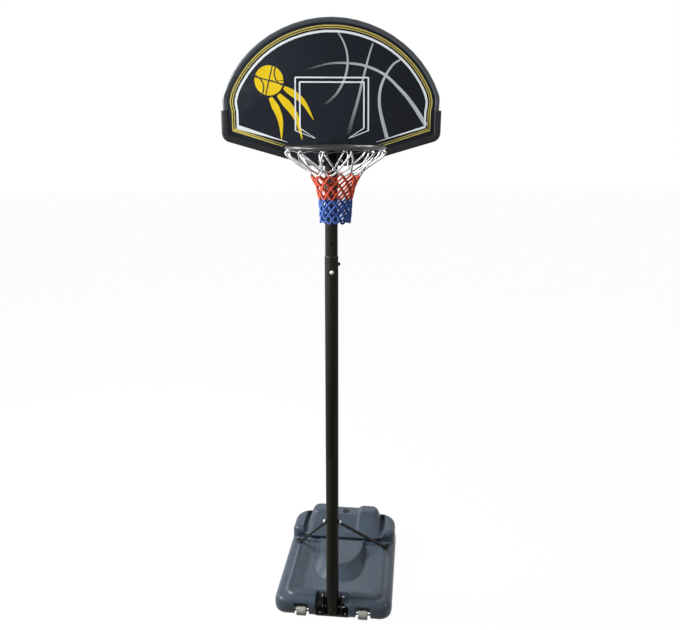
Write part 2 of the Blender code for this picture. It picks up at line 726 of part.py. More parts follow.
def build_struts():
    hole = SHANK_RADIUS + HOLE_GAP
    for side, word in ((-1, "left"), (1, "right")):
        upper_hole = cross_hole(STRUT_BOLT_Z, hole, (1, 0, 0), 0.010, x=side * OUTER_RADIUS)
        foot_place = (side * STRUT_FOOT_X, STRUT_FOOT_Y, BORDER_TOP)
        lower_hole = turned(foot_place, (0, 0, 1), ((-0.010, hole), (0.015, hole)), 8)
        holes = gather([upper_hole, lower_hole])
        assemble(f"strut_{word}", pole_paint(), [loft(strut_rings(side))], [holes])
        seat = BORDER_TOP + 2 * SEAT_GAP + 2 * TAB_HALF_THICKNESS
        foot = Vector((side * STRUT_FOOT_X, STRUT_FOOT_Y, 0))
        head_seat = foot + Vector((0, 0, seat))
        bolt(f"strut_foot_bolt_{word}", head_seat, foot + Vector((0, 0, 0.093)), surface=pole_paint)
    reach = OUTER_RADIUS + 0.0006 + 2 * TAB_HALF_THICKNESS + SEAT_GAP
    bolt("strut_bolt", (-reach, 0, STRUT_BOLT_Z), (reach + 0.011, 0, STRUT_BOLT_Z), (reach, 0, STRUT_BOLT_Z))


# Board

SLANT = math.atan2(CORNER_HEIGHT, BOARD_HALF_WIDTH - FLAT_HALF_WIDTH)


def arch_outline(inset):
    """The board's border from its right step over the top to its left step, drawn in by the inset."""
    shoulder_x = BORDER_SIDE - SHOULDER_RADIUS
    shoulder_z = ARCH_CENTRE + math.sqrt((ARCH_RADIUS - SHOULDER_RADIUS) ** 2 - shoulder_x ** 2)
    turn = math.degrees(math.atan2(shoulder_z - ARCH_CENTRE, shoulder_x))
    right = [(BORDER_SIDE - inset, STEP_HEIGHT)]
    right += arc((shoulder_x, shoulder_z), SHOULDER_RADIUS - inset, 0, turn, 3)
    crown = arc((0, ARCH_CENTRE), ARCH_RADIUS - inset, turn, 180 - turn, 22)
    return right + crown[1:-1] + mirrored(right)


def lower_outline(inset):
    """The board's lower edge from its left step round the bottom to its right step."""
    corner_x = BOARD_HALF_WIDTH - CORNER_RADIUS
    corner_z = (CORNER_RADIUS + (corner_x - FLAT_HALF_WIDTH) * math.sin(SLANT)) / math.cos(SLANT)
    bottom_x = FLAT_HALF_WIDTH - BOTTOM_RADIUS * (1 - math.cos(SLANT)) / math.sin(SLANT)
    slant = math.degrees(SLANT)
    right = arc((bottom_x, BOTTOM_RADIUS), BOTTOM_RADIUS - inset, -90, slant - 90, 3)
    right += arc((corner_x, corner_z), CORNER_RADIUS - inset, slant - 90, 0, 6)
    right += [(BOARD_HALF_WIDTH - inset, STEP_HEIGHT - SEAT_GAP)]
    return mirrored(right) + right


def border_strip(name, outline, profile, surface):
    """Run a closed profile of (inset, depth) points along an outline, and cap both ends."""
    runs = [[Vector(in_board_plane(x, z, depth)) for x, z in outline(inset)] for inset, depth in profile]
    return add_object(name, loft([list(ring) for ring in zip(*runs)]), surface)


RIM_BOLTS = [(x, z) for z in (0.026, 0.084) for x in (-0.048, 0.048)]
BOARD_SCREWS = [(x, z) for z in (0.425, 0.495) for x in (-0.055, 0.055)]
BRACKET_BOLT_HEIGHTS = (0.1435, 0.460)


def build_panel():
    """The printed panel: one sheet with a pad for the ring in front, and ribs and bosses behind."""
    plastic = finish("board_plastic", (0.019, 0.023, 0.034), 0.4)
    outline = lower_outline(0.022)[:-1] + arch_outline(0.010)
    sheet = plate(outline, PANEL_FRONT, PANEL_BACK, in_board_plane)
    into = PANEL_BACK - 0.0010
    pad_low = (-0.088, GUARD_FRONT, BOARD_Z + 0.0365)
    pad_high = (0.088, PANEL_FRONT + 0.001, BOARD_Z + 0.140)
    parts = [sheet, box(pad_low, pad_high, 0.0015, 1)]
    half = 0.0015
    edge = 0.036
    for x in (0.090, 0.270, 0.430):
        low = max(edge, (x - FLAT_HALF_WIDTH) * math.tan(SLANT) + edge / math.cos(SLANT))
        high = ARCH_CENTRE + math.sqrt((ARCH_RADIUS - 0.024) ** 2 - x ** 2) - 0.002
        for side in (-1, 1):
            rib_low = (side * x - half, into, BOARD_Z + low + 0.002)
            parts.append(box(rib_low, (side * x + half, BOARD_BACK, BOARD_Z + high)))
    for z in (0.185, 0.360, 0.540):
        reach = math.sqrt((ARCH_RADIUS - 0.024) ** 2 - (z - ARCH_CENTRE) ** 2) - 0.002
        reach = min(reach, BOARD_HALF_WIDTH - edge)
        parts.append(box((-reach, into, BOARD_Z + z - half), (reach, BOARD_BACK, BOARD_Z + z + half)))
    for x, z in RIM_BOLTS[2:] + BOARD_SCREWS:
        parts.append(turned((x, 0, BOARD_Z + z), (0, 1, 0), ((into, 0.012), (BOARD_BACK, 0.011)), 12))
    holes = [board_bore(x, z, -0.140, -0.080, 0.0046) for x, z in RIM_BOLTS]
    holes += [board_bore(x, z, -0.1090, -0.080, 0.0029) for x, z in BOARD_SCREWS]
    assemble("board_panel", plastic, parts, [gather(holes)])


def build_border():
    """The arched border, and the wider guard round the lower edge. Both grip the panel in a groove."""
    plastic = finish("border_plastic", (0.030, 0.034, 0.040), 0.45)
    groove_front = PANEL_FRONT - SEAT_GAP
    groove_back = PANEL_BACK + SEAT_GAP
    profile = [(0.0, FRAME_FRONT + 0.007), (0.007, FRAME_FRONT), (0.019, FRAME_FRONT)]
    profile += [(0.024, groove_front), (0.0095, groove_front), (0.0095, groove_back), (0.022, groove_back)]
    profile += [(0.022, BOARD_BACK), (0.0, BOARD_BACK)]
    border_strip("board_border", arch_outline, profile, plastic)
    profile = [(0.0, GUARD_FRONT + 0.007), (0.007, GUARD_FRONT), (0.032, GUARD_FRONT)]
    profile += [(0.036, groove_front), (0.0215, groove_front), (0.0215, groove_back), (0.034, groove_back)]
    profile += [(0.034, BOARD_BACK), (0.0, BOARD_BACK)]
    guard = border_strip("board_guard", lower_outline, profile, plastic)
    holes = [board_bore(x, z, -0.140, -0.080, 0.0046) for x, z in RIM_BOLTS[:2]]
    combine(guard, gather(holes), "DIFFERENCE", "bolt_holes")


def board_bracket(name, flange_low, flange_high, web, screw_places, screw_hole, bolt_height):
    """A steel plate on the board's back with two webs that hold the upper tube between them."""
    near = BOARD_BACK + SEAT_GAP
    far = near + 0.003
    inner, outer = INNER_RADIUS + 0.0006, INNER_RADIUS + 0.0036
    flange = box((-0.070, near, BOARD_Z + flange_low), (0.070, far, BOARD_Z + flange_high))
    parts = [flange]
    outline = [(y, BOARD_Z + z) for y, z in web]
    for low_x, high_x in ((-outer, -inner), (inner, outer)):
        parts.append(plate(outline, low_x, high_x, in_side_plane))
    rest = -INNER_RADIUS - 0.0006
    low_z, high_z = BOARD_Z + web[3][1], BOARD_Z + web[2][1]
    parts.append(box((-outer + 0.001, rest - 0.003, low_z), (outer - 0.001, rest, high_z)))
    holes = [cross_hole(BOARD_Z + bolt_height, SHANK_RADIUS + HOLE_GAP, (1, 0, 0), 0.060)]
    for x, z in screw_places:
        holes.append(board_bore(x, z, near - 0.010, far + 0.010, screw_hole))
    assemble(name, pole_paint(), parts, [gather(holes)])
    reach = outer + SEAT_GAP
    height = BOARD_Z + bolt_height
    word = name.split("_")[-1]
    bolt(f"bracket_bolt_{word}", (-reach, 0, height), (reach + 0.011, 0, height), (reach, 0, height))


def build_board_brackets():
    lower_web = [(-0.0895, 0.045), (-0.0895, 0.165), (0.016, 0.165), (0.016, 0.122), (-0.048, 0.122)]
    board_bracket("board_bracket_lower", 0.016, 0.170, lower_web, RIM_BOLTS, 0.0046, BRACKET_BOLT_HEIGHTS[0])
    upper_web = [(-0.0895, 0.415), (-0.0895, 0.505), (0.016, 0.482), (0.016, 0.438), (-0.040, 0.438)]
    upper_bolt = BRACKET_BOLT_HEIGHTS[1]
    board_bracket("board_bracket_upper", 0.405, 0.515, upper_web, BOARD_SCREWS, 0.0034, upper_bolt)
    seat = BOARD_BACK + 2 * SEAT_GAP + 0.003
    for number, (x, z) in enumerate(BOARD_SCREWS, start=1):
        tip = (x, -0.1075, BOARD_Z + z)
        bolt(f"board_screw_{number}", (x, seat, BOARD_Z + z), tip, shank=0.0025, head=0.0055, height=0.004)


# Ring and net

def build_rim_bracket():
    """A folded plate: a back bolted through the board, a shelf out to the ring and two gussets below."""
    back = GUARD_FRONT - SEAT_GAP
    front = back - 0.004
    shelf_top = RING_HEIGHT + 0.002
    shelf_bottom = shelf_top - 0.004
    end = RING_CENTRE_Y + RING_RADIUS - 0.014
    shelf_outline = [(-0.075, back - 0.001), (0.075, back - 0.001), (0.062, end), (-0.062, end)]
    parts = [
        box((-0.075, front, BOARD_Z + 0.010), (0.075, back, shelf_top)),
        plate(shelf_outline, shelf_bottom, shelf_top, in_floor_plane),
    ]
    gusset = [(front + 0.001, BOARD_Z + 0.014), (front + 0.001, shelf_bottom + 0.001)]
    gusset += [(end + 0.014, shelf_bottom + 0.001), (end + 0.014, shelf_bottom - 0.009)]
    for x in (-0.0250, 0.0210):
        parts.append(plate(gusset, x, x + 0.004, in_side_plane))
    holes = [board_bore(x, z, -0.140, -0.110, 0.0046) for x, z in RIM_BOLTS]
    middle = (0, RING_CENTRE_Y, RING_HEIGHT)
    inside = turned(middle, (0, 0, 1), ((-0.050, RING_RADIUS), (0.050, RING_RADIUS)), 48)
    groove = RING_BAR_RADIUS + 0.0006
    groove_profile = bar_profile(groove)
    seat = turned_ring(middle, (0, 0, 1), groove_profile, 48)
    assemble("rim_bracket", pole_paint(), parts, [gather(holes), inside, seat])
    nut_seat = BOARD_BACK + 2 * SEAT_GAP + 0.003
    for number, (x, z) in enumerate(RIM_BOLTS, start=1):
        height = BOARD_Z + z
        tip = (x, nut_seat + 0.010, height)
        bolt(f"rim_bolt_{number}", (x, front - SEAT_GAP, height), tip, (x, nut_seat, height))


def build_ring():
    middle = (0, RING_CENTRE_Y, RING_HEIGHT)
    bar = bar_profile(RING_BAR_RADIUS)
    paint = finish("ring_paint", (0.014, 0.014, 0.016), 0.25, 0.3)
    add_object("rim_ring", turned_ring(middle, (0, 0, 1), bar, 48), paint)


def build_hook_wire():
    """One bent wire under the ring: it touches the ring at its crests and holds the net at its dips."""
    crest = RING_HEIGHT - RING_BAR_RADIUS - HOOK_WIRE_RADIUS - 0.0012
    points_per_hook = 6
    count = HOOK_COUNT * points_per_hook
    wire = bpy.data.curves.new("net_hook_wire", "CURVE")
    wire.dimensions = "3D"
    wire.bevel_depth = HOOK_WIRE_RADIUS
    wire.bevel_resolution = 0
    line = wire.splines.new("POLY")
    line.points.add(count - 1)
    line.use_cyclic_u = True
    for number, point in enumerate(line.points):
        angle = 2 * math.pi * number / count
        dip = HOOK_DROP * (1 - math.cos(HOOK_COUNT * angle)) / 2
        x = RING_RADIUS * math.sin(angle)
        y = RING_CENTRE_Y - RING_RADIUS * math.cos(angle)
        point.co = (x, y, crest - dip, 1.0)
    wire.materials.append(finish("ring_paint", (0.014, 0.014, 0.016), 0.25, 0.3))
    made = bpy.data.objects.new("net_hook_wire", wire)
    bpy.context.scene.collection.objects.link(made)


def net_radius(depth):
    """The net's radius at a depth below the ring: it narrows fast, then hangs almost straight."""
    mouth, throat, start, fall = 0.224, 0.064, 0.032, 0.0815
    return throat + (mouth - throat) * math.exp(-(max(depth - start, 0.0) / fall) ** 1.09)


def even_rows(top, bottom, count):
    return [top + (bottom - top) * number / (count - 1) for number in range(count)]


def net_zone(name, colour, depths):
    """A zone of diamond mesh, twelve diamonds round: knots on rows that are turned half a step by turns."""
    shape = bmesh.new()
    grid = []
    for row, depth in enumerate(depths):
        radius = net_radius(depth)
        knots = []
        for number in range(HOOK_COUNT):
            angle = 2 * math.pi * (number + 0.5 + 0.5 * (row % 2)) / HOOK_COUNT
            x = radius * math.sin(angle)
            y = RING_CENTRE_Y - radius * math.cos(angle)
            knots.append(shape.verts.new((x, y, RING_HEIGHT - depth)))
        grid.append(knots)
    for row in range(len(depths) - 2):
        for number in range(HOOK_COUNT):
            right = number if row % 2 == 0 else (number + 1) % HOOK_COUNT
            left = (right - 1) % HOOK_COUNT
            diamond = (grid[row][number], grid[row + 1][left], grid[row + 2][number], grid[row + 1][right])
            shape.faces.new(diamond)
    made = add_object(name, shape, finish(name, colour, 0.85))
    cords = made.modifiers.new("cords", "WIREFRAME")
    cords.thickness = CORD_WIDTH
    cords.use_even_offset = True
    cords.use_boundary = True
    cords.use_replace = True


def build_net():
    net_zone("net_white", (0.85, 0.85, 0.85), (0.0360, 0.0940, 0.1075, 0.1210))
    net_zone("net_red", (0.75, 0.16, 0.06), even_rows(0.128, 0.2320, 5))
    net_zone("net_blue", (0.05, 0.11, 0.45), even_rows(0.2425, 0.3285, 5))


# Placing

def pivot(name, place, piece, parent=None):
    """Put an empty on a joint's axis and hang the moving piece from it, where the piece already is."""
    empty = bpy.data.objects.new(name, None)
    bpy.context.scene.collection.objects.link(empty)
    empty.empty_display_size = 0.05
    empty.location = place
    empty.parent = parent
    moving = bpy.data.objects[piece]
    moving.parent = empty
    moving.matrix_parent_inverse = Matrix.Translation(-Vector(place))
    return empty


def turn_base(pieces):
    """Turn every piece of the base, with its guides and joint empties, about the pole's axis."""
    turned_base = bpy.data.objects.new("base_turn", None)
    bpy.context.scene.collection.objects.link(turned_base)
    turned_base.empty_display_size = 0.1
    for piece in pieces:
        piece.parent = turned_base
    axles = (("wheel_left", -WHEEL_X), ("wheel_right", WHEEL_X))
    for wheel, x in axles:
        pivot(f"{wheel}_axle", (x, AXLE_Y, AXLE_Z), wheel, turned_base)
    pivot("filler_cap_axis", (0, FILLER_Y, SADDLE_TOP), "filler_cap", turned_base)
    turned_base.rotation_euler.z = BASE_TURN


remove_everything()
build_tank()
build_filler_cap()
build_deck_plugs()
build_wheels()
build_foot_brackets()
build_lower_pole()
build_struts()
turn_base(list(bpy.data.objects))
build_middle_pole()
build_upper_pole()
build_pole_fittings()
build_height_lock()
pivot("clamp_axis", (0, 0, CLAMP_Z), "clamp_knob")
pivot("height_bolt_axis", (0, 0, HEIGHT_BOLT_Z), "height_bolt")
build_panel()
build_border()
build_board_brackets()
build_rim_bracket()
build_ring()
build_hook_wire()
build_net()
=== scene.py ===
"""An adjustable basketball stand on a weighted, wheeled base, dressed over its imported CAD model."""
import bmesh
import bpy
import json
import math
import random
from mathutils import Matrix, Vector


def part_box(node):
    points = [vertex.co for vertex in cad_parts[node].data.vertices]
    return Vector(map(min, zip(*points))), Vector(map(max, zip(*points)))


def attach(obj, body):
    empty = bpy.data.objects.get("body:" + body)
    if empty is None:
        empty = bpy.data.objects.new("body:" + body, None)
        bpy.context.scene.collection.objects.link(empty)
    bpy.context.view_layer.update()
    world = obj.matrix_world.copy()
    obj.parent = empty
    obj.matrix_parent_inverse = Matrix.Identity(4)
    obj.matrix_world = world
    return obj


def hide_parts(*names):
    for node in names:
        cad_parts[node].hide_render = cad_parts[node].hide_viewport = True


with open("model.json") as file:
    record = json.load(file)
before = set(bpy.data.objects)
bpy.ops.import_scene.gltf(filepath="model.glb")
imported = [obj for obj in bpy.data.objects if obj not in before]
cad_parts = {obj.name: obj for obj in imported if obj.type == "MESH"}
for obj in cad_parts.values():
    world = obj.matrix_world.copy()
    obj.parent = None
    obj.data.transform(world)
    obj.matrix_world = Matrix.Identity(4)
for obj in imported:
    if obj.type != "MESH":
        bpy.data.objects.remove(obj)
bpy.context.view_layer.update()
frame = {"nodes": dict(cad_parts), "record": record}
nodes = frame["nodes"]


# Studio: a white floor under a white sky, with a large soft key lamp high on the left and four
# weak lamps: at the left wall, at the board, behind and on the right. The camera stands 3.9 m
# in front of the pole and 3 m up, and looks down a little, as the photographer did.
def linear(red, green, blue):
    """A colour given as 0 to 255 on screen, as the renderer's own values."""
    values = [channel / 255 for channel in (red, green, blue)]
    return tuple(v / 12.92 if v <= 0.04045 else ((v + 0.055) / 1.055) ** 2.4 for v in values) + (1.0,)


scene = bpy.context.scene
scene.view_settings.view_transform = "Standard"

view_width, view_down, view_turn = 51.18, 14.94, -2.9
camera_distance, camera_offset, camera_height = 3.866, 0.047, 2.997
camera_data = bpy.data.cameras.new("camera")
camera_data.sensor_fit = "HORIZONTAL"
camera_data.angle = math.radians(view_width)
camera_data.clip_start = 0.05
camera = bpy.data.objects.new("camera", camera_data)
scene.collection.objects.link(camera)
scene.camera = camera
yaw = math.radians(view_turn)
ahead = Vector((-math.sin(yaw), math.cos(yaw), 0))
aside = Vector((math.cos(yaw), math.sin(yaw), 0))
camera.location = -ahead * camera_distance + aside * camera_offset + Vector((0, 0, camera_height))
camera.rotation_euler = (math.radians(90 - view_down), 0, yaw)


def rays_that_see_white(tree, path):
    """Camera, glossy and transmission rays as one mask, so that metal shows the background too."""
    mask = path.outputs["Is Camera Ray"]
    for kind in ("Is Glossy Ray", "Is Transmission Ray"):
        either = tree.nodes.new("ShaderNodeMath")
        either.operation = "MAXIMUM"
        tree.links.new(mask, either.inputs[0])
        tree.links.new(path.outputs[kind], either.inputs[1])
        mask = either.outputs[0]
    return mask


world = bpy.data.worlds.new("white sky")
scene.world = world
world.use_nodes = True
sky = world.node_tree.nodes
sky_links = world.node_tree.links
sky.clear()
sky_out = sky.new("ShaderNodeOutputWorld")
seen_sky = sky.new("ShaderNodeBackground")
seen_sky.inputs["Color"].default_value = (1, 1, 1, 1)
lit_sky = sky.new("ShaderNodeBackground")
lit_sky.inputs["Color"].default_value = (0.93, 0.96, 1, 1)
lit_sky.inputs["Strength"].default_value = 0.09
sky_mix = sky.new("ShaderNodeMixShader")
sky_path = sky.new("ShaderNodeLightPath")
sky_links.new(rays_that_see_white(world.node_tree, sky_path), sky_mix.inputs["Fac"])
sky_links.new(lit_sky.outputs[0], sky_mix.inputs[1])
sky_links.new(seen_sky.outputs[0], sky_mix.inputs[2])
sky_links.new(sky_mix.outputs[0], sky_out.inputs["Surface"])


def soft_lamp(name, place, aim, size, power, spread=180):
    """A round lamp of a size in metres and a power in watts, turned to what it lights."""
    lamp = bpy.data.lights.new(name, "AREA")
    lamp.shape = "DISK"
    lamp.size = size
    lamp.energy = power
    lamp.spread = math.radians(spread)
    lamp_object = bpy.data.objects.new(name, lamp)
    lamp_object.location = place
    lamp_object.rotation_euler = (Vector(place) - Vector(aim)).to_track_quat("Z", "Y").to_euler()
    scene.collection.objects.link(lamp_object)


soft_lamp("key_lamp", place=(-3.9, 0.1, 4.3), aim=(0, 0.3, 0.5), size=2.1, power=385)
soft_lamp("left_wall_lamp", place=(-3.4, 2.9, 1.3), aim=(0, 0.3, 0.4), size=2.6, power=30)
soft_lamp("board_lamp", place=(-3.4, -2.3, 3.8), aim=(0, -0.2, 3.1), size=1.0, power=13, spread=44)
soft_lamp("back_lamp", place=(0.4, 4.4, 4.2), aim=(0, 0.5, 0.2), size=2.4, power=18)
soft_lamp("right_lamp", place=(3.6, -1.4, 3.2), aim=(0, 0, 0.8), size=2.0, power=33)


def new_paint(name):
    """An empty material, its node tree and its surface shader."""
    material = bpy.data.materials.new(name)
    material.use_nodes = True
    return material, material.node_tree, material.node_tree.nodes["Principled BSDF"]


bpy.ops.object.select_all(action="DESELECT")
bpy.ops.mesh.primitive_plane_add(size=60, location=(0, 0, -0.0005))
floor = bpy.context.object
floor.name = "floor"
floor_paint, floor_tree, floor_surface = new_paint("pale floor")
floor_surface.inputs["Roughness"].default_value = 0.9
floor_surface.inputs["Specular IOR Level"].default_value = 0.1
floor_white = floor_tree.nodes.new("ShaderNodeEmission")
floor_white.inputs["Strength"].default_value = 1.044
floor_mix = floor_tree.nodes.new("ShaderNodeMixShader")
floor_path = floor_tree.nodes.new("ShaderNodeLightPath")
floor_tone = floor_tree.nodes.new("ShaderNodeMix")
floor_tone.data_type = "RGBA"
floor_tone.inputs[6].default_value = (0.10, 0.10, 0.10, 1)
floor_tone.inputs[7].default_value = (0.50, 0.50, 0.50, 1)
floor_tree.links.new(floor_path.outputs["Is Camera Ray"], floor_tone.inputs["Factor"])
floor_tree.links.new(floor_tone.outputs[2], floor_surface.inputs["Base Color"])
floor_share = floor_tree.nodes.new("ShaderNodeMath")
floor_share.operation = "MULTIPLY"
floor_share.inputs[1].default_value = 0.93
floor_tree.links.new(rays_that_see_white(floor_tree, floor_path), floor_share.inputs[0])
floor_tree.links.new(floor_share.outputs[0], floor_mix.inputs["Fac"])
floor_tree.links.new(floor_surface.outputs[0], floor_mix.inputs[1])
floor_tree.links.new(floor_white.outputs[0], floor_mix.inputs[2])
floor_tree.links.new(floor_mix.outputs[0], floor_tree.nodes["Material Output"].inputs["Surface"])
floor.data.materials.append(floor_paint)


# Ballast tank: one hollow blow-moulded shell of blue-grey plastic, filled with water or sand.
# Everything on it is soft-edged, as the parison leaves it, and its skin is finely grained,
# a little cloudy in colour, and scuffed where it is dragged.
def effect(name, inputs, outputs):
    """An empty shader group with number inputs and the outputs named, and its two end nodes."""
    group = bpy.data.node_groups.new(name, "ShaderNodeTree")
    for label, value in inputs:
        group.interface.new_socket(label, in_out="INPUT", socket_type="NodeSocketFloat").default_value = value
    for label in outputs:
        group.interface.new_socket(label, in_out="OUTPUT", socket_type="NodeSocketFloat")
    return group, group.nodes.new("NodeGroupInput"), group.nodes.new("NodeGroupOutput")


def calculate(tree, operation, first, second):
    """One Math node. Each value is a number or a socket."""
    node = tree.nodes.new("ShaderNodeMath")
    node.operation = operation
    for socket, value in zip(node.inputs, (first, second)):
        if isinstance(value, (int, float)):
            socket.default_value = value
        else:
            tree.links.new(value, socket)
    return node.outputs[0]


def fit(tree, value, low, high, to_low=0.0, to_high=1.0):
    """A value brought from one range to another, and held inside it."""
    node = tree.nodes.new("ShaderNodeMapRange")
    node.inputs["From Min"].default_value = low
    node.inputs["From Max"].default_value = high
    node.inputs["To Min"].default_value = to_low
    node.inputs["To Max"].default_value = to_high
    tree.links.new(value, node.inputs["Value"])
    return node.outputs["Result"]


def cloud(tree, scale, detail, roughness=0.55, stretch=None):
    """Noise over the Object coordinates, at a scale given per metre, plain or stretched."""
    place = tree.nodes.new("ShaderNodeTexCoord").outputs["Object"]
    if stretch:
        mapping = tree.nodes.new("ShaderNodeMapping")
        mapping.inputs["Scale"].default_value = stretch
        tree.links.new(place, mapping.inputs["Vector"])
        place = mapping.outputs["Vector"]
    noise = tree.nodes.new("ShaderNodeTexNoise")
    noise.inputs["Detail"].default_value = detail
    noise.inputs["Roughness"].default_value = roughness
    tree.links.new(place, noise.inputs["Vector"])
    if isinstance(scale, (int, float)):
        noise.inputs["Scale"].default_value = scale
    else:
        tree.links.new(scale, noise.inputs["Scale"])
    return noise.outputs["Fac"]


skin, skin_in, skin_out = effect(
    "surface skin", (("Cloud Scale", 9.0), ("Grain Scale", 520.0)), ("Cloud", "Grain"))
broad = cloud(skin, skin_in.outputs["Cloud Scale"], detail=4)
skin.links.new(fit(skin, broad, 0.30, 0.70), skin_out.inputs["Cloud"])
fine = cloud(skin, skin_in.outputs["Grain Scale"], detail=2)
skin.links.new(fine, skin_out.inputs["Grain"])

wear, wear_in, wear_out = effect(
    "handling wear", (("Dust Height", 0.10),), ("Scratches", "Dust", "Edges"))
along = cloud(wear, scale=60.0, detail=3, roughness=0.6, stretch=(0.25, 3.5, 1.0))
across_it = cloud(wear, scale=75.0, detail=3, roughness=0.6, stretch=(3.0, 0.22, 1.4))
patches = fit(wear, cloud(wear, scale=7.0, detail=3), 0.50, 0.68)
lines = calculate(wear, "MAXIMUM", fit(wear, along, 0.66, 0.72), fit(wear, across_it, 0.67, 0.73))
wear.links.new(calculate(wear, "MULTIPLY", lines, patches), wear_out.inputs["Scratches"])
height = wear.nodes.new("ShaderNodeSeparateXYZ")
wear.links.new(wear.nodes.new("ShaderNodeTexCoord").outputs["Object"], height.inputs["Vector"])
share = calculate(wear, "DIVIDE", height.outputs["Z"], wear_in.outputs["Dust Height"])
low_down = fit(wear, share, 0.0, 1.0, 1.0, 0.0)
speckle = fit(wear, cloud(wear, scale=34.0, detail=5, roughness=0.7), 0.40, 0.64)
wear.links.new(calculate(wear, "MULTIPLY", low_down, speckle), wear_out.inputs["Dust"])
edge = fit(wear, wear.nodes.new("ShaderNodeNewGeometry").outputs["Pointiness"], 0.535, 0.60)
rubbed = calculate(wear, "MULTIPLY", edge, fit(wear, cloud(wear, scale=26.0, detail=4), 0.42, 0.62))
wear.links.new(rubbed, wear_out.inputs["Edges"])


def place_group(tree, group, **values):
    """A shader group set into a material's tree, with values for its inputs."""
    node = tree.nodes.new("ShaderNodeGroup")
    node.node_tree = group
    for label, value in values.items():
        node.inputs[label.replace("_", " ")].default_value = value
    return node


def mix(tree, share, first, second):
    """Two colours mixed by a mask. Each is a colour or a socket."""
    node = tree.nodes.new("ShaderNodeMix")
    node.data_type = "RGBA"
    tree.links.new(share, node.inputs["Factor"])
    for socket, value in ((node.inputs[6], first), (node.inputs[7], second)):
        if isinstance(value, tuple):
            socket.default_value = value
        else:
            tree.links.new(value, socket)
    return node.outputs[2]


def bump(tree, surface, value, distance):
    """Fine relief on a surface, as deep as the distance in metres."""
    node = tree.nodes.new("ShaderNodeBump")
    node.inputs["Distance"].default_value = distance
    node.inputs["Strength"].default_value = 1.0
    tree.links.new(value, node.inputs["Height"])
    tree.links.new(node.outputs["Normal"], surface.inputs["Normal"])


def moulded_plastic(name, colour, shade, worn, roughness, grain, dust_height, cloud_scale=9.0,
                    grain_scale=520.0, gloss=0.5):
    """A grained plastic with a cloudy colour, pale scratches, rubbed edges and dust low down."""
    material, tree, surface = new_paint(name)
    surface.inputs["Specular IOR Level"].default_value = gloss
    skin_node = place_group(tree, skin, Cloud_Scale=cloud_scale, Grain_Scale=grain_scale)
    wear_node = place_group(tree, wear, Dust_Height=dust_height)
    tone = mix(tree, skin_node.outputs["Cloud"], shade, colour)
    scratched = calculate(tree, "MULTIPLY", wear_node.outputs["Scratches"], 0.55)
    rubbed_share = calculate(tree, "MULTIPLY", wear_node.outputs["Edges"], 0.5)
    tone = mix(tree, calculate(tree, "MAXIMUM", scratched, rubbed_share), tone, worn)
    dusty = calculate(tree, "MULTIPLY", wear_node.outputs["Dust"], 0.30)
    tone = mix(tree, dusty, tone, linear(150, 144, 132))
    tree.links.new(tone, surface.inputs["Base Color"])
    rough = fit(tree, skin_node.outputs["Cloud"], 0.0, 1.0, roughness - 0.05, roughness + 0.06)
    rough = calculate(tree, "ADD", rough, calculate(tree, "MULTIPLY", wear_node.outputs["Dust"], 0.2))
    tree.links.new(rough, surface.inputs["Roughness"])
    bump(tree, surface, skin_node.outputs["Grain"], grain)
    return material


def select_only(*pieces):
    """These pieces are all that is selected, and the first is the active one."""
    bpy.ops.object.select_all(action="DESELECT")
    for piece in pieces:
        piece.select_set(True)
    bpy.context.view_layer.objects.active = pieces[0]


same_place = 0.00001


def take_copy(node, name):
    """A merged copy of a CAD node's mesh, with no material yet."""
    made = bpy.data.objects.new(name, nodes[node].data.copy())
    scene.collection.objects.link(made)
    made.data.materials.clear()
    select_only(made)
    bpy.ops.object.mode_set(mode="EDIT")
    bpy.ops.mesh.select_all(action="SELECT")
    bpy.ops.mesh.remove_doubles(threshold=same_place)
    bpy.ops.mesh.customdata_custom_splitnormals_clear()
    bpy.ops.object.mode_set(mode="OBJECT")
    return made


def apply_modifier(piece, kind, **values):
    """A modifier with the values given, applied to the piece at once."""
    bpy.context.view_layer.objects.active = piece
    modifier = piece.modifiers.new("shape", kind)
    for label, value in values.items():
        setattr(modifier, label, value)
    bpy.ops.object.modifier_apply(modifier=modifier.name)


def hand_over(piece, body, slot, *replaced):
    """The piece rides on its body and stands for the CAD nodes named; its slot is not used."""
    if replaced:
        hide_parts(*replaced)
    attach(piece, body)


tank_plastic = moulded_plastic(
    "tank plastic", colour=linear(66, 79, 93), shade=linear(56, 68, 81), worn=linear(104, 116, 128),
    roughness=0.34, grain=0.00018, dust_height=0.07, gloss=0.33)


def smooth_path(points, steps=8):
    """A smooth curve through a few points, as many short straight pieces."""
    path = []
    for number in range(len(points) - 1):
        before = Vector(points[max(number - 1, 0)])
        start, end = Vector(points[number]), Vector(points[number + 1])
        after = Vector(points[min(number + 2, len(points) - 1)])
        for step in range(steps):
            t = step / steps
            path.append(0.5 * (
                2 * start + (end - before) * t + (2 * before - 5 * start + 4 * end - after) * t * t
                + (3 * start - before - 3 * end + after) * t ** 3))
    return path + [Vector(points[-1])]


def round_wire(name, paths, radius, sides, cyclic=False):
    """One mesh of round wires along the paths given."""
    curve = bpy.data.curves.new(name, "CURVE")
    curve.dimensions = "3D"
    curve.bevel_depth = radius
    curve.bevel_resolution = max(sides // 2 - 2, 0)
    curve.use_fill_caps = not cyclic
    for path in paths:
        line = curve.splines.new("POLY")
        line.points.add(len(path) - 1)
        line.use_cyclic_u = cyclic
        for point, place in zip(line.points, path):
            point.co = (*place, 1.0)
    made = bpy.data.objects.new(name, curve)
    scene.collection.objects.link(made)
    select_only(made)
    bpy.ops.object.convert(target="MESH")
    made = bpy.context.object
    bpy.ops.object.shade_smooth()
    return made


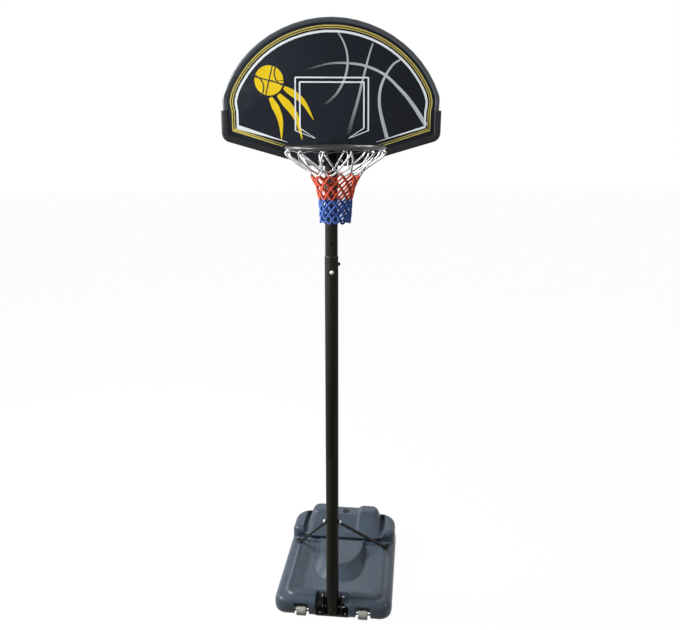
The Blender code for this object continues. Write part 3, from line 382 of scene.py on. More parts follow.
def ring_skin(name, rings, goes_round):
    """A closed skin over a row of rings: the last one meets the first, or each end has a face."""
    shape = bmesh.new()
    rows = [[shape.verts.new(place) for place in ring] for ring in rings]
    for row, other in zip(rows, rows[1:] + (rows[:1] if goes_round else [])):
        for number in range(len(row)):
            after = (number + 1) % len(row)
            shape.faces.new((row[number], row[after], other[after], other[number]))
    if not goes_round:
        shape.faces.new(rows[0])
        shape.faces.new(rows[-1])
    bmesh.ops.remove_doubles(shape, verts=shape.verts, dist=same_place)
    bmesh.ops.recalc_face_normals(shape, faces=shape.faces)
    mesh = bpy.data.meshes.new(name)
    shape.to_mesh(mesh)
    shape.free()
    made = bpy.data.objects.new(name, mesh)
    scene.collection.objects.link(made)
    return made


def read_off(value, knots):
    """The height of a line through a few points, at a value."""
    for (low, first), (high, second) in zip(knots, knots[1:]):
        if value <= high:
            return first + (second - first) * max(value - low, 0.0) / (high - low)
    return knots[-1][1]


base_turn = math.radians(-9.1)


def base_place(x, y, z):
    """A point given along and across the base, which stands turned on the floor."""
    return Vector((x * math.cos(base_turn) - y * math.sin(base_turn),
                   x * math.sin(base_turn) + y * math.cos(base_turn), z))


def round_plan(half_width, front, back, front_radius, back_radius, steps=9):
    """A rectangle with round corners, seen from above."""
    points = []
    for side, edge, radius, start in ((-1, front, front_radius, 180), (1, front, front_radius, 270),
                                      (1, back, back_radius, 0), (-1, back, back_radius, 90)):
        inward = 1 if edge == front else -1
        for number in range(steps + 1):
            angle = math.radians(start + 90 * number / steps)
            points.append((side * (half_width - radius) + radius * math.cos(angle),
                           edge + inward * radius + radius * math.sin(angle)))
    return points


rim_half_width, rim_front, rim_back = 0.301, 0.012, 0.585
front_corner, back_corner, least_corner = 0.060, 0.045, 0.020
rim_profile = smooth_path([
    (-0.012, 0.1165), (-0.008, 0.1188), (-0.004, 0.1228), (0.000, 0.1275), (0.003, 0.1302),
    (0.006, 0.1310), (0.010, 0.1300), (0.014, 0.1270), (0.018, 0.1243), (0.024, 0.1226),
    (0.034, 0.1195), (0.050, 0.1140), (0.075, 0.1035), (0.100, 0.0940)], 3)
rim_profile += [Vector((0.100, 0.085)), Vector((-0.012, 0.105))]
rim_rings = []
for inset, height_up in rim_profile:
    plan = round_plan(rim_half_width - inset, rim_front + inset, rim_back - inset,
                      max(front_corner - inset, least_corner), max(back_corner - inset, least_corner))
    rim_rings.append([base_place(x, y, height_up) for x, y in plan])
deck_rim = ring_skin("deck_rim", rim_rings, goes_round=True)

foot_room_middle, foot_room_size = base_place(0, 0.0120, 0.1), (0.212, 0.226, 0.2)
bpy.ops.object.select_all(action="DESELECT")
bpy.ops.mesh.primitive_cube_add(size=1, location=foot_room_middle, rotation=(0, 0, base_turn))
foot_room = bpy.context.object
foot_room.scale = foot_room_size
select_only(deck_rim)
apply_modifier(deck_rim, "BOOLEAN", object=foot_room, operation="DIFFERENCE", solver="EXACT")
bpy.data.objects.remove(foot_room)

lip_corner_x, lip_corner_y, lip_bend, lip_height, lip_radius = 0.208, 0.700, 0.0655, 0.1550, 0.0085
lip_path = []
for side in (-1, 1):
    bend = [(side * (lip_corner_x + lip_bend * math.sin(math.radians(turn))),
             lip_corner_y - lip_bend * math.cos(math.radians(turn))) for turn in range(0, 61, 10)]
    lip_path += reversed(bend) if side < 0 else bend
block_lip = round_wire("block_lip", [[base_place(x, y, lip_height) for x, y in lip_path]], lip_radius, 12)
groove_half, groove_y, groove_height, groove_radius = 0.150, 0.5915, 0.1490, 0.0075
groove_path = [base_place(x, groove_y, groove_height) for x in (-groove_half, 0.0, groove_half)]
groove_edge = round_wire("groove_edge", [groove_path], groove_radius, 12)

tongue_middle, tongue_back = 0.560, 0.594
tongue_foot_height, crown_height, crown_front, crown_fall = 0.0965, 0.163, 0.300, 0.037
tongue_foot = ((0, 0.365), (10, 0.365), (17, 0.356), (23, 0.336), (30, 0.301), (50, 0.219), (71, 0.186),
               (90, 0.179))
tongue_crown = ((0, 0.257), (14, 0.245), (25, 0.218), (38, 0.185), (51, 0.167), (65, 0.154), (90, 0.148))


def tongue_ring(share):
    """One level of the deck's raised middle, from its foot at share 0 to its crown's edge at 1."""
    half = []
    for turn in range(0, 91, 6):
        foot, crown = read_off(turn, tongue_foot), read_off(turn, tongue_crown)
        reach = foot + (crown - foot) * share
        angle = math.radians(turn)
        half.append((reach * math.sin(angle), tongue_middle - reach * math.cos(angle)))
    half.append((half[-1][0] + 0.003 * (1 - share), tongue_back))
    plan = [(-x, y) for x, y in reversed(half)] + half[1:]
    return [base_place(x, y, tongue_foot_height + (
        crown_height - (y - crown_front) * crown_fall - tongue_foot_height) * share) for x, y in plan]


tongue = ring_skin(
    "deck_tongue", [tongue_ring(share) for share in (-0.3, 0.0, 0.25, 0.5, 0.75, 1.0)], goes_round=False)

# The rim, lip, bead and tongue melt into one skin with the tank, soft-edged as a blown wall is.
tank = take_copy("base_tank", "tank_moulding")
select_only(tank, deck_rim, block_lip, groove_edge, tongue)
bpy.ops.object.join()
apply_modifier(tank, "REMESH", mode="VOXEL", voxel_size=0.0050, adaptivity=0.0)
apply_modifier(tank, "SMOOTH", factor=0.5, iterations=8)
bpy.ops.object.shade_smooth()
tank.data.materials.clear()
tank.data.materials.append(tank_plastic)
hand_over(tank, "base", "tank_plastic", "base_tank")


# Filler cap and deck plugs: black soft plastic, pushed into their holes.
# The cap closes the filling hole on the block, and the plugs close the two holes of the deck.
slots = {entry["node"]: entry["material_slot"] for entry in frame["record"]["subparts"]}
bodies = {node: body for body, members in frame["record"]["behaviour"]["bodies"].items() for node in members}


def round_off(piece, rounding, smooth_angle=38):
    """Its sharp edges are rounded off, and its round sides are shaded smooth."""
    apply_modifier(
        piece, "BEVEL", width=rounding, segments=2, limit_method="ANGLE", angle_limit=math.radians(40))
    bpy.ops.object.shade_smooth_by_angle(angle=math.radians(smooth_angle))


def refine(material, rounding, *names):
    """Copies of CAD nodes, with their edges rounded off and their round sides smooth, stand for them."""
    for name in names:
        piece = take_copy(name, name + "_finished")
        round_off(piece, rounding)
        piece.data.materials.append(material)
        hand_over(piece, bodies[name], slots[name], name)


soft_black = moulded_plastic(
    "black fittings plastic", colour=linear(30, 30, 32), shade=linear(23, 23, 25), worn=linear(70, 70, 72),
    roughness=0.48, grain=0.00012, dust_height=0.05, cloud_scale=40.0, grain_scale=900.0)
refine(soft_black, 0.0008, "filler_cap", "deck_plug_left", "deck_plug_right")


# Wheels: solid grey plastic rollers on two pins, let into the tank's front edge.
# They touch the ground only when the stand is tipped forward on them.
wheel_plastic = moulded_plastic(
    "wheel plastic", colour=linear(176, 176, 168), shade=linear(160, 160, 152), worn=linear(196, 196, 190),
    roughness=0.55, grain=0.0003, dust_height=0.03, cloud_scale=30.0, grain_scale=420.0)


def turned_piece(name, middle, axis, profile, steps=48):
    """A closed profile of radius and place along the axis, turned once about it."""
    aside = Vector((0, 0, 1)).cross(axis)
    rings = []
    for step in range(steps):
        turn = 2 * math.pi * step / steps
        outward = Vector((0, 0, 1)) * math.cos(turn) + aside * math.sin(turn)
        rings.append([middle + outward * radius + axis * along for radius, along in profile])
    made = ring_skin(name, rings, goes_round=True)
    select_only(made)
    bpy.ops.object.shade_smooth_by_angle(angle=math.radians(38))
    return made


wheel_profile = [
    (0.0055, -0.0290), (0.0115, -0.0290), (0.0125, -0.0282), (0.0135, -0.0250), (0.0245, -0.0250),
    (0.0255, -0.0282), (0.0265, -0.0290), (0.0300, -0.0290), (0.0316, -0.0282), (0.0320, -0.0265),
    (0.0320, -0.0185), (0.0316, -0.0182), (0.0316, -0.0168), (0.0320, -0.0165)]
wheel_profile += [(radius, -along) for radius, along in reversed(wheel_profile)]
for node, body in (("wheel_left", "left_wheel"), ("wheel_right", "right_wheel")):
    wheel_low, wheel_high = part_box(node)
    wheel_middle = (Vector(wheel_low) + Vector(wheel_high)) / 2
    wheel = turned_piece(body + "_roller", wheel_middle, base_place(1, 0, 0), wheel_profile)
    wheel.data.materials.append(wheel_plastic)
    hand_over(wheel, body, "wheel_plastic", node)


# Pole, struts and brackets: rolled steel under a satin, nearly black powder coat, held by bolts.
# The coat has a fine orange peel, and it is rubbed through to grey at a few edges. The fittings
# and the knob, a small grip on the clamp's screw, are soft black plastic.
def powder_coat(name, colour, shade, bare, roughness, peel, coat=0.0, gloss=0.4):
    """A coated metal with a cloudy colour, orange peel, scratches and dust low down."""
    material, tree, surface = new_paint(name)
    surface.inputs["Specular IOR Level"].default_value = gloss
    surface.inputs["Coat Weight"].default_value = coat
    surface.inputs["Coat Roughness"].default_value = 0.18
    skin_node = place_group(tree, skin, Cloud_Scale=5.0, Grain_Scale=330.0)
    wear_node = place_group(tree, wear, Dust_Height=0.16)
    tone = mix(tree, skin_node.outputs["Cloud"], shade, colour)
    tone = mix(tree, calculate(tree, "MULTIPLY", wear_node.outputs["Scratches"], 0.45), tone, bare)
    dusty = calculate(tree, "MULTIPLY", wear_node.outputs["Dust"], 0.35)
    tone = mix(tree, dusty, tone, linear(120, 114, 104))
    tree.links.new(tone, surface.inputs["Base Color"])
    rough = fit(tree, skin_node.outputs["Cloud"], 0.0, 1.0, roughness - 0.04, roughness + 0.05)
    tree.links.new(rough, surface.inputs["Roughness"])
    bump(tree, surface, skin_node.outputs["Grain"], peel)
    return material


pole_coat = powder_coat(
    "pole powder coat", colour=linear(42, 40, 35), shade=linear(36, 34, 30), bare=linear(60, 58, 54),
    roughness=0.56, peel=0.00010, gloss=0.07)
refine(
    pole_coat, 0.0005, "lower_pole", "middle_pole", "upper_pole", "strut_left", "strut_right",
    "foot_bracket_left", "foot_bracket_right", "axle_pin_left", "axle_pin_right", "clamp_nut",
    "strut_foot_bolt_left", "strut_foot_bolt_right", "board_bracket_lower", "board_bracket_upper",
    "rim_bracket")
refine(
    soft_black, 0.0006, "guide_collar", "guide_bush", "pole_cap", "foot_spacer_low_left",
    "foot_spacer_low_right", "foot_spacer_high_left", "foot_spacer_high_right")

knob_reach, knob_breadth = 0.50, 0.64
knob_low, knob_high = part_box("clamp_knob")
knob_z = (knob_low[2] + knob_high[2]) / 2
knob = take_copy("clamp_knob", "clamp_knob_finished")
for vertex in knob.data.vertices:
    vertex.co.x = knob_low[0] + (vertex.co.x - knob_low[0]) * knob_reach
    vertex.co.y *= knob_breadth
    vertex.co.z = knob_z + (vertex.co.z - knob_z) * knob_breadth
round_off(knob, 0.0005)
knob.data.materials.append(soft_black)
hand_over(knob, "knob", "black_plastic", "clamp_knob")


# Bolts and screws: bright zinc-plated steel with a slight cloud and brushed faces. The height
# bolt has a domed head, and domed cap nuts close both ends of the bolt through the struts.
zinc, zinc_tree, zinc_surface = new_paint("zinc plate")
zinc_surface.inputs["Metallic"].default_value = 0.25
zinc_skin = place_group(zinc_tree, skin, Cloud_Scale=160.0, Grain_Scale=1500.0)
zinc_tone = mix(zinc_tree, zinc_skin.outputs["Cloud"], linear(222, 224, 227), linear(240, 240, 238))
zinc_tree.links.new(zinc_tone, zinc_surface.inputs["Base Color"])
zinc_rough = fit(zinc_tree, zinc_skin.outputs["Cloud"], 0.0, 1.0, 0.26, 0.40)
zinc_tree.links.new(zinc_rough, zinc_surface.inputs["Roughness"])
bump(zinc_tree, zinc_surface, zinc_skin.outputs["Grain"], 0.00004)
bolts = [name for name in nodes if "screw" in name or "bolt" in name]
refine(zinc, 0.0004, *[name for name in bolts if not name.startswith("strut_foot_bolt")])

dome = [(0.0, 0.0), (0.0112, 0.0), (0.0112, 0.0012), (0.0098, 0.0032), (0.0072, 0.0050),
        (0.0038, 0.0061), (0.0, 0.0064)]
head_low, head_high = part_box("height_bolt")
head_seat = Vector((0, head_low[1] + 0.0004, (head_low[2] + head_high[2]) / 2))
bolt_dome = turned_piece("height_bolt_dome", head_seat, Vector((0, -1, 0)), dome, 32)
bolt_dome.data.materials.append(zinc)
hand_over(bolt_dome, "locking_bolt", "zinc")

cap_nut = [(0.0040, 0.0), (0.0118, 0.0), (0.0118, 0.0016), (0.0100, 0.0016), (0.0100, 0.0050),
           (0.0092, 0.0085), (0.0070, 0.0112), (0.0038, 0.0127), (0.0, 0.0131), (0.0, 0.0090),
           (0.0040, 0.0090)]
strut_face = 0.0436
bolt_low, bolt_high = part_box("strut_bolt")
for name, side in (("strut_cap_nut_left", -1), ("strut_cap_nut_right", 1)):
    seat = base_place(side * strut_face, 0, (bolt_low[2] + bolt_high[2]) / 2)
    nut = turned_piece(name, seat, base_place(side, 0, 0), cap_nut, 32)
    nut.data.materials.append(zinc)
    hand_over(nut, "base", "zinc")


# Board: a dark moulded sheet in a moulded border, with a guard along its lower edge.
# The border is snapped round the sheet, and all three are the same grained plastic; the border's colour is
# painted lighter, as painted light on its rounded top.
# Their outline is fuller at the shoulders here than in the CAD model, and the guard sits higher.
board_z = 2.795
fuller_out = ((0.23, 0.0), (0.29, 0.002), (0.35, 0.0060), (0.50, 0.0065), (0.62, 0.0045), (0.70, 0.0))
fuller_up = ((0.09, 0.009), (0.19, 0.015), (0.24, 0.022), (0.31, 0.016), (0.42, 0.008), (0.60, 0.0015),
             (0.70, 0.0))
fuller_side = ((0.10, 0.0), (0.24, 1.0))


def fuller(x, z):
    """A point of the board's outline, with z from its lower edge, moved out and up to its real place."""
    side = read_off(abs(x), fuller_side)
    return x + math.copysign(read_off(z, fuller_out) * side, x), z + read_off(z, fuller_up) * side


board_plastic = moulded_plastic(
    "board plastic", colour=linear(27, 30, 38), shade=linear(23, 26, 33), worn=linear(58, 62, 72),
    roughness=0.58, grain=0.00006, dust_height=0.01, cloud_scale=5.0, grain_scale=800.0, gloss=0.10)
# The border's colour is painted lighter than the sheet's and the guard's: painted light for the light that
# its rounded top catches.
border_plastic = moulded_plastic(
    "board border plastic painted lighter", colour=linear(57, 63, 69), shade=linear(47, 53, 59), worn=linear(74, 78, 82),
    roughness=0.42, grain=0.00008, dust_height=0.01, cloud_scale=8.0, grain_scale=800.0, gloss=0.5)
guard_plastic = moulded_plastic(
    "board guard plastic", colour=linear(28, 31, 33), shade=linear(24, 27, 29), worn=linear(60, 64, 66),
    roughness=0.45, grain=0.00008, dust_height=0.01, cloud_scale=8.0, grain_scale=800.0, gloss=0.2)
for node, name, material, slot in (
        ("board_panel", "board_sheet", board_plastic, "board_plastic"),
        ("board_border", "board_arch_border", border_plastic, "border_plastic"),
        ("board_guard", "board_lower_guard", guard_plastic, "border_plastic")):
    piece = take_copy(node, name)
    for vertex in piece.data.vertices:
        x, z = fuller(vertex.co.x, vertex.co.z - board_z)
        vertex.co.x, vertex.co.z = x, board_z + z
    round_off(piece, 0.0012, smooth_angle=35)
    piece.data.materials.append(material)
    hand_over(piece, "mast", slot, node)


# Print on the board: screen-printed inks, a yellow and a white line along the border, a double
# white target, the long seam lines of a ball that fills the board, and a thrown yellow ball.
# Each ink is a thin film on the sheet's front face, and the seam lines fade out at one end.
ink_front = -0.118 - 0.00025
band_step = 0.00005


def ink_paint(name, colour, shade):
    """A printed ink, thin and a little uneven. The fade attribute thins it out to nothing."""
    material, tree, surface = new_paint(name)
    skin_node = place_group(tree, skin, Cloud_Scale=14.0, Grain_Scale=800.0)
    wear_node = place_group(tree, wear, Dust_Height=0.01)
    tone = mix(tree, skin_node.outputs["Cloud"], shade, colour)
    scratched = calculate(tree, "MULTIPLY", wear_node.outputs["Scratches"], 0.5)
    tone = mix(tree, scratched, tone, linear(60, 62, 70))
    tree.links.new(tone, surface.inputs["Base Color"])
    surface.inputs["Roughness"].default_value = 0.38
    bump(tree, surface, skin_node.outputs["Grain"], 0.00006)
    fade = tree.nodes.new("ShaderNodeAttribute")
    fade.attribute_name = "fade"
    tree.links.new(fade.outputs["Fac"], surface.inputs["Alpha"])
    return material


white_ink = ink_paint("white ink", linear(240, 246, 249), linear(228, 235, 239))
grey_ink = ink_paint("grey ink", linear(192, 200, 206), linear(176, 184, 190))
yellow_ink = ink_paint("yellow ink", linear(240, 208, 14), linear(228, 195, 10))
dark_ink = ink_paint("dark ink", linear(26, 29, 37), linear(21, 24, 31))
line_ink = ink_paint("yellow line ink", linear(208, 193, 96), linear(194, 180, 86))


def spread(values, share):
    """What a few values, spread evenly from share 0 to 1, give between them."""
    reach = share * (len(values) - 1)
    low = min(int(reach), len(values) - 2)
    return values[low] + (values[low + 1] - values[low]) * (reach - low)


def stroke(path, widths, fades=(1.0, 1.0)):
    """A flat band along a path: its two edges, point by point, and how strong the ink is there.

    Widths and fades are spread evenly along the path."""
    count = len(path)
    band = []
    for number, point in enumerate(path):
        before = path[number - 1] if number else point
        after = path[number + 1] if number < count - 1 else point
        direction = (after - before).normalized()
        side = Vector((-direction.y, direction.x))
        if 0 < number < count - 1:
            bend = (point - before).normalized().dot(direction)
            side /= max(bend, 0.5)
        share = number / (count - 1)
        width = spread(widths, share)
        band.append((point + side * width / 2, point - side * width / 2, spread(fades, share)))
    return band


def print_bands(name, material, bands, lift=0.0):
    """All the bands of one ink as one thin film on the board's face, each a hair over the last."""
    mesh = bpy.data.meshes.new(name)
    shape = bmesh.new()
    strength = shape.verts.layers.float.new("fade")
    for number, band in enumerate(bands):
        over = ink_front - lift - number * band_step
        rows = []
        for left, right, fade in band:
            pair = [shape.verts.new((p.x, over, board_z + p.y)) for p in (left, right)]
            for corner in pair:
                corner[strength] = fade
            rows.append(pair)
        for first, second in zip(rows, rows[1:]):
            shape.faces.new((first[0], second[0], second[1], first[1]))
    bmesh.ops.recalc_face_normals(shape, faces=shape.faces)
    for face in shape.faces:
        if face.normal.y > 0:
            face.normal_flip()
    shape.to_mesh(mesh)
    shape.free()
    made = bpy.data.objects.new(name, mesh)
    scene.collection.objects.link(made)
    mesh.materials.append(material)
    hand_over(made, "mast", "board_plastic")


arch_middle, arch_radius = Vector((0, 0.145)), 0.575
shoulder_middle, shoulder_radius = Vector((0.428, 0.293)), 0.120
board_side, guard_corner_z, guard_top_z = 0.548, 0.155, 0.272


def border_path(inset, step_in, low_end):
    """A line that follows the board's border at an inset, and steps in beside the guard."""
    edge_x = board_side - inset
    half = [Vector(low_end), Vector((edge_x - step_in, guard_corner_z + inset * 0.6)),
            Vector((edge_x - step_in, guard_top_z)), Vector((edge_x, guard_top_z + 0.020))]
    turn = math.atan2(shoulder_middle.y - arch_middle.y, shoulder_middle.x)
    angles = [turn * number / 6 for number in range(2, 7)]
    arch = [shoulder_middle + (shoulder_radius - inset) * Vector((math.cos(a), math.sin(a))) for a in angles]
    angles = [turn + (math.pi - 2 * turn) * number / 40 for number in range(1, 20)]
    arch += [arch_middle + (arch_radius - inset) * Vector((math.cos(a), math.sin(a))) for a in angles]
    half += [Vector(fuller(point.x, point.y)) for point in arch]
    return half + [Vector((-point.x, point.y)) for point in reversed(half)]


def border_line(inset, step_in, low_end, width, end_width):
    """One printed line along the border, drawn thin at both its ends."""
    path = border_path(inset, step_in, low_end)
    return stroke(path, (end_width,) + (width,) * (len(path) - 2) + (end_width,))


print_bands("print_yellow_line", line_ink, [
    border_line(inset=0.0400, step_in=0.005, low_end=(0.252, 0.0990), width=0.0060, end_width=0.0030),
    border_line(inset=0.0502, step_in=0.005, low_end=(0.240, 0.1055), width=0.0042, end_width=0.0015)])

seams = [
    ([(0.031, 0.648), (0.062, 0.596), (0.078, 0.537), (0.076, 0.475), (0.057, 0.412), (0.018, 0.352),
      (-0.038, 0.304)], (0.007, 0.009, 0.011, 0.012, 0.010), (0.8, 0.9, 1.0, 0.7, 0.0)),
    ([(-0.133, 0.470), (-0.025, 0.499), (0.067, 0.504), (0.168, 0.491), (0.264, 0.450), (0.341, 0.384),
      (0.407, 0.312), (0.485, 0.201)], (0.006, 0.009, 0.011, 0.012, 0.014, 0.018, 0.021),
     (0.0, 0.7, 1.0, 1.0, 1.0)),
    ([(0.205, 0.597), (0.187, 0.544), (0.173, 0.491), (0.151, 0.407), (0.127, 0.310), (0.102, 0.225),
      (0.083, 0.157)], (0.007, 0.009, 0.012, 0.016, 0.018), (0.8, 1.0, 0.8, 0.45, 0.0)),
    ([(0.344, 0.521), (0.307, 0.497), (0.270, 0.444), (0.246, 0.384), (0.241, 0.311), (0.255, 0.238),
      (0.283, 0.141)], (0.009, 0.011, 0.013, 0.016, 0.019), (0.9, 1.0, 1.0, 0.9, 0.8)),
]
print_bands(
    "print_ball_seams", grey_ink, [stroke(smooth_path(path), widths, fades) for path, widths, fades in seams])


def at_angle(degrees):
    """A direction on the board's face, from its right-hand side round to its top."""
    return Vector((math.cos(math.radians(degrees)), math.sin(math.radians(degrees))))


def round_path(centre, radius, start, end, steps):
    """A part of a circle, from one angle to another."""
    return [centre + radius * at_angle(start + (end - start) * number / steps) for number in range(steps + 1)]


ball_middle, ball_radius, seam_widths = Vector((-0.315, 0.420)), 0.072, (0.006, 0.006)
thrown = [stroke(round_path(ball_middle, ball_radius / 2, 0, 360, 48), (ball_radius, ball_radius))]
tails = ((-86, -76, 0.215, 0.036, 0.020), (-56, -62, 0.250, 0.040, 0.026), (-24, -47, 0.215, 0.034, 0.022))
for turn, heading, length, width, bow in tails:
    flight = at_angle(heading)
    start = ball_middle + at_angle(turn) * (ball_radius + 0.010)
    end = start + flight * length
    middle = (start + end) / 2 + Vector((-flight.y, flight.x)) * bow
    tail_widths = (width * 0.5, width, width * 0.8, width * 0.4, 0.001)
    thrown.append(stroke(smooth_path([start, middle, end], 12), tail_widths))
ball_seams = []
for tip in (Vector((0.070, -0.018)), Vector((-0.018, -0.070))):
    ball_seams.append(stroke(smooth_path([ball_middle - tip, ball_middle, ball_middle + tip]), seam_widths))
for side, start, end in ((-1, -42, 84), (1, 138, 264)):
    seam_middle = ball_middle + side * Vector((0.088, 0.034))
    ball_seams.append(stroke(round_path(seam_middle, 0.061, start, end, 12), seam_widths))
print_bands("print_thrown_ball", yellow_ink, thrown)
print_bands("print_thrown_ball_seams", dark_ink, ball_seams, lift=0.0004)


def cornered(points, radius=0.003, steps=4):
    """Straight runs with small round corners."""
    path = [Vector(points[0])]
    for before, corner, after in zip(points, points[1:], points[2:]):
        corner = Vector(corner)
        into = corner + (Vector(before) - corner).normalized() * radius
        out = corner + (Vector(after) - corner).normalized() * radius
        for number in range(steps + 1):
            t = number / steps
            path.append(into * (1 - t) ** 2 + corner * 2 * t * (1 - t) + out * t * t)
    return path + [Vector(points[-1])]


target_foot = (0.078, 0.135)
outer_target = [target_foot, (0.186, 0.177), (0.184, 0.435)]
inner_target = [target_foot, (0.163, 0.189), (0.162, 0.413)]
target_widths = (0.002, 0.0065) + (0.0072,) * 8 + (0.0065, 0.002)
white_bands = [
    border_line(inset=0.0665, step_in=0.004, low_end=(0.228, 0.1205), width=0.0112, end_width=0.0015)]
for right_half in (outer_target, inner_target):
    outline = right_half + [(-x, z) for x, z in reversed(right_half)]
    white_bands.append(stroke(cornered(outline), target_widths))
print_bands("print_white_lines", white_ink, white_bands, lift=0.0006)


# Ring: 16 mm round bar, bent and welded, in a glossier black than the pole. A bent wire under it
# holds the net, and the ring is welded to its folded bracket along the front of the shelf.
ring_coat = powder_coat(
    "ring powder coat", colour=linear(34, 34, 37), shade=linear(27, 27, 30), bare=linear(120, 118, 114),
    roughness=0.32, peel=0.00006, coat=0.25)
ring_height, ring_y, ring_radius, bar_radius = 2.900, -0.515, 0.2265, 0.008
hook_count, wire_radius, hook_drop, wire_gap = 12, 0.0025, 0.009, 0.0012
weld_radius, weld_reach, weld_angle, weld_steps = 0.0026, 0.0072, 14, 60
weld_rise, ripple_out, ripple_up = 0.0025, 0.0006, 0.0004

bpy.ops.object.select_all(action="DESELECT")
bpy.ops.mesh.primitive_torus_add(
    major_segments=144, minor_segments=20, major_radius=ring_radius, minor_radius=bar_radius,
    location=(0, ring_y, ring_height))
bpy.ops.object.transform_apply(location=True, rotation=True, scale=True)
ring_bar = bpy.context.object
ring_bar.name = "ring_bar"
bpy.ops.object.shade_smooth()
ring_bar.data.materials.append(ring_coat)
hand_over(ring_bar, "mast", "ring_paint", "rim_ring")

weld_runs = []
for run_height in (ring_height + weld_rise, ring_height - weld_rise):
    run = []
    for step in range(weld_steps + 1):
        turn = math.radians(-weld_angle + 2 * weld_angle * step / weld_steps)
        reach = ring_radius + weld_reach + ripple_out * math.sin(step * 2.1)
        rise = ripple_up * math.sin(step * 1.7)
        run.append((reach * math.sin(turn), ring_y + reach * math.cos(turn), run_height + rise))
    weld_runs.append(run)
weld = round_wire("ring_weld", weld_runs, weld_radius, 8)
weld.data.materials.append(ring_coat)
hand_over(weld, "mast", "ring_paint")

crest = ring_height - bar_radius - wire_radius - wire_gap
hook_path = []
hook_points = hook_count * 12
for number in range(hook_points):
    angle = 2 * math.pi * number / hook_points
    dip = hook_drop * (1 - math.cos(hook_count * angle)) / 2
    hook_path.append((ring_radius * math.sin(angle), ring_y - ring_radius * math.cos(angle), crest - dip))
hooks = round_wire("net_hooks", [hook_path], wire_radius, 8, cyclic=True)
hooks.data.materials.append(ring_coat)
hand_over(hooks, "mast", "ring_paint", "net_hook_wire")


# Net: twelve loops of braided cord round, knotted where they cross, in three colours.
# White hangs from the hooks, red is tied to it, and blue ends in twelve loose loops.
end_radius, flare, flare_top, flare_depth, flare_power = 0.064, 0.160, 0.032, 0.0815, 1.09


def net_radius(depth):
    """The net's radius at a depth below the ring: it narrows fast, then hangs almost straight."""
    return end_radius + flare * math.exp(-(max(depth - flare_top, 0.0) / flare_depth) ** flare_power)


def cord_paint(name, colour, shade, weave_shade_depth=0.35):
    """Braided cord: a crossing weave along its length, with a dull, fuzzy surface, and painted shade in the
    gaps between its strands.
    """
    material, tree, surface = new_paint(name)
    surface.inputs["Roughness"].default_value = 0.85
    surface.inputs["Sheen Weight"].default_value = 0.3
    surface.inputs["Specular IOR Level"].default_value = 0.2
    skin_node = place_group(tree, skin, Cloud_Scale=45.0, Grain_Scale=900.0)
    place = tree.nodes.new("ShaderNodeTexCoord").outputs["Object"]
    strands = []
    for tilt in (1.0, -1.0):
        mapping = tree.nodes.new("ShaderNodeMapping")
        mapping.inputs["Rotation"].default_value = (0.6 * tilt, 0.9 * tilt, 0.4)
        tree.links.new(place, mapping.inputs["Vector"])
        wave = tree.nodes.new("ShaderNodeTexWave")
        wave.inputs["Scale"].default_value = 150.0
        wave.inputs["Distortion"].default_value = 1.5
        tree.links.new(mapping.outputs["Vector"], wave.inputs["Vector"])
        strands.append(wave.outputs["Fac"])
    weave = calculate(tree, "MAXIMUM", *strands)
    tone = mix(tree, skin_node.outputs["Cloud"], shade, colour)
    # Painted shade: the colour in the gaps between the strands is darkened to 45 per cent of the shade
    # colour.
    painted_shade_between_strands = tuple(c * 0.45 for c in shade[:3]) + (1.0,)
    tone = mix(tree, fit(tree, weave, 0.2, 0.9, weave_shade_depth, 0.0), tone, painted_shade_between_strands)
    tree.links.new(tone, surface.inputs["Base Color"])
    bump(tree, surface, weave, 0.0006)
    return material


# Rows of knots by their depth under the ring. Row 0 is the hooks' own, and has no knots.
row_depths = [0.0340, 0.1050, 0.1240]
row_depths += [0.124 + 0.112 * number / 4 for number in range(1, 5)]
row_depths += [0.236 + 0.086 * number / 4 for number in range(1, 5)]
white_end, red_end, blue_end = 2, 6, 10
cord_sag, most_loose, knot_ring, knot_cord = 0.0022, 0.0040, 0.0040, 0.0031


def knot_place(row, number):
    """Where a knot hangs. The lower it is, the further off its place, as in any loose net."""
    depth = row_depths[row]
    loose = most_loose * max(row - white_end, 0) / blue_end
    shift = random.Random(row * 40 + number % hook_count)
    radius = net_radius(depth) + shift.uniform(-loose, loose)
    angle = 2 * math.pi * (number + 0.5 + 0.5 * (row % 2)) / hook_count + shift.uniform(-loose, loose) * 7
    drop = shift.uniform(-loose, loose)
    return Vector((radius * math.sin(angle), ring_y - radius * math.cos(angle), ring_height - depth + drop))


def outward_at(place):
    """The level direction from the net's middle line to a place on it."""
    return Vector((place.x, place.y - ring_y, 0)).normalized()


def cord_between(start, end):
    """A cord from knot to knot, which bellies out and down a little under its own stiffness."""
    out = outward_at((start + end) / 2)
    path = []
    for step in range(6):
        t = step / 5
        bow = 4 * t * (1 - t) * cord_sag
        path.append(start.lerp(end, t) + out * bow - Vector((0, 0, bow * 0.5)))
    return path


def hook_loop(number):
    """A cord that rises from a knot, goes over a hook and comes down to the next knot."""
    angle = 2 * math.pi * (number + 0.5) / hook_count
    out = Vector((math.sin(angle), -math.cos(angle), 0))
    side = Vector((math.cos(angle), math.sin(angle), 0))
    hook = Vector((0, ring_y, crest - hook_drop)) + out * ring_radius
    over = [hook + out * across * 0.001 + side * along * 0.001 + Vector((0, 0, rise * 0.001))
            for across, along, rise in (
                (3.0, -12.0, -16.0), (7.2, -4.5, -4.0), (5.5, -1.5, 3.6), (0, 0, 7.1), (-5.5, 1.5, 3.6),
                (-7.2, 4.5, -4.0), (-3.0, 12.0, -16.0))]
    left, right = knot_place(1, number - 1), knot_place(1, number)
    down = [left.lerp(over[0], share) for share in (0.0, 0.4, 0.7, 0.88)]
    up = [right.lerp(over[-1], share) for share in (0.88, 0.7, 0.4, 0.0)]
    return smooth_path(down + over[1:-1] + up, 4)


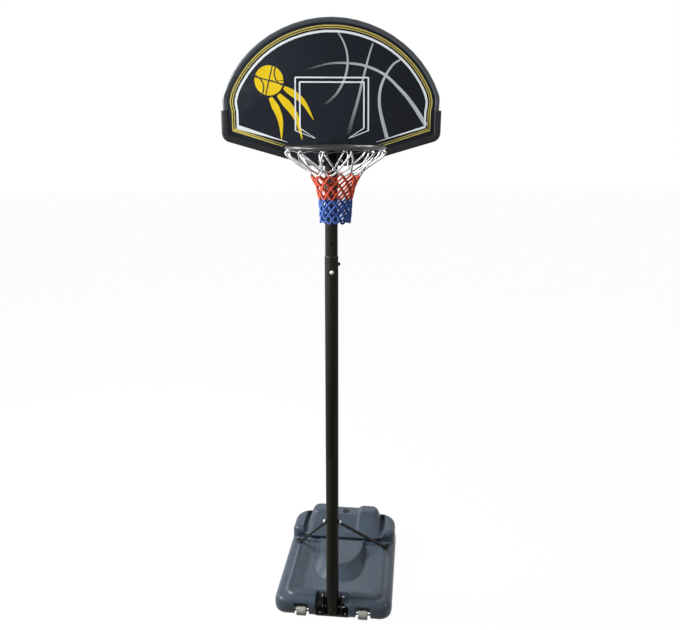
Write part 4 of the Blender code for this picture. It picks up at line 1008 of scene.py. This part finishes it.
def loose_loop(number):
    """A free loop of cord under two neighbouring knots of the last row."""
    start, end = knot_place(blue_end, number), knot_place(blue_end, number + 1)
    shift = random.Random(900 + number)
    length = shift.uniform(0.013, 0.025)
    lean = shift.uniform(-0.006, 0.006)
    loop = []
    for step in range(9):
        t = step / 8
        dip = length * math.sin(math.pi * t) ** 0.8
        place = start.lerp(end, t)
        loop.append(place - Vector((0, 0, dip)) + outward_at(place) * lean * math.sin(math.pi * t))
    return loop


def net_piece(name, first_row, last_row, cord_radius, material, slot, node):
    """One colour of the net: its cords as round wires, its knots, and loops above and below."""
    paths = []
    for row in range(first_row, last_row):
        shift = row % 2
        for number in range(hook_count):
            for target in (number + shift, number + shift - 1):
                paths.append(cord_between(knot_place(row, number), knot_place(row + 1, target)))
    if first_row == 1:
        paths += [hook_loop(number) for number in range(hook_count)]
    if last_row == blue_end:
        paths += [loose_loop(number) for number in range(hook_count)]
    cords = round_wire(name, paths, cord_radius, 6)
    bpy.ops.object.select_all(action="DESELECT")
    bpy.ops.mesh.primitive_torus_add(
        major_segments=10, minor_segments=6, major_radius=knot_ring, minor_radius=knot_cord,
        location=(0, 0, 0))
    pattern = bpy.context.object
    bpy.ops.object.shade_smooth()
    pieces = [cords]
    for row in range(first_row, last_row + 1 if last_row == blue_end else last_row):
        for number in range(hook_count):
            place = knot_place(row, number)
            turn = outward_at(place).to_track_quat("X", "Z").to_matrix().to_4x4()
            shift = random.Random(row * 77 + number)
            tilt = Matrix.Rotation(shift.uniform(-0.5, 0.5), 4, "X")
            swell = Matrix.Diagonal((1.1, 1.25, 1.25, 1))
            knot = pattern.copy()
            knot.data = pattern.data.copy()
            knot.data.transform(Matrix.Translation(place) @ turn @ tilt @ swell)
            scene.collection.objects.link(knot)
            pieces.append(knot)
    bpy.data.objects.remove(pattern)
    select_only(*pieces)
    bpy.ops.object.join()
    cords.data.materials.clear()
    cords.data.materials.append(material)
    hand_over(cords, "mast", slot, node)


white_cord = cord_paint("white cord", linear(250, 251, 253), linear(240, 242, 245), weave_shade_depth=0.15)
red_cord = cord_paint("red cord", linear(230, 92, 56), linear(206, 70, 44))
blue_cord = cord_paint("blue cord", linear(68, 110, 190), linear(46, 82, 160))
net_piece("net_top", 1, white_end, 0.0045, white_cord, "net_white", "net_white")
net_piece("net_middle", white_end, red_end, 0.0053, red_cord, "net_red", "net_red")
net_piece("net_bottom", red_end, blue_end, 0.0057, blue_cord, "net_blue", "net_blue")
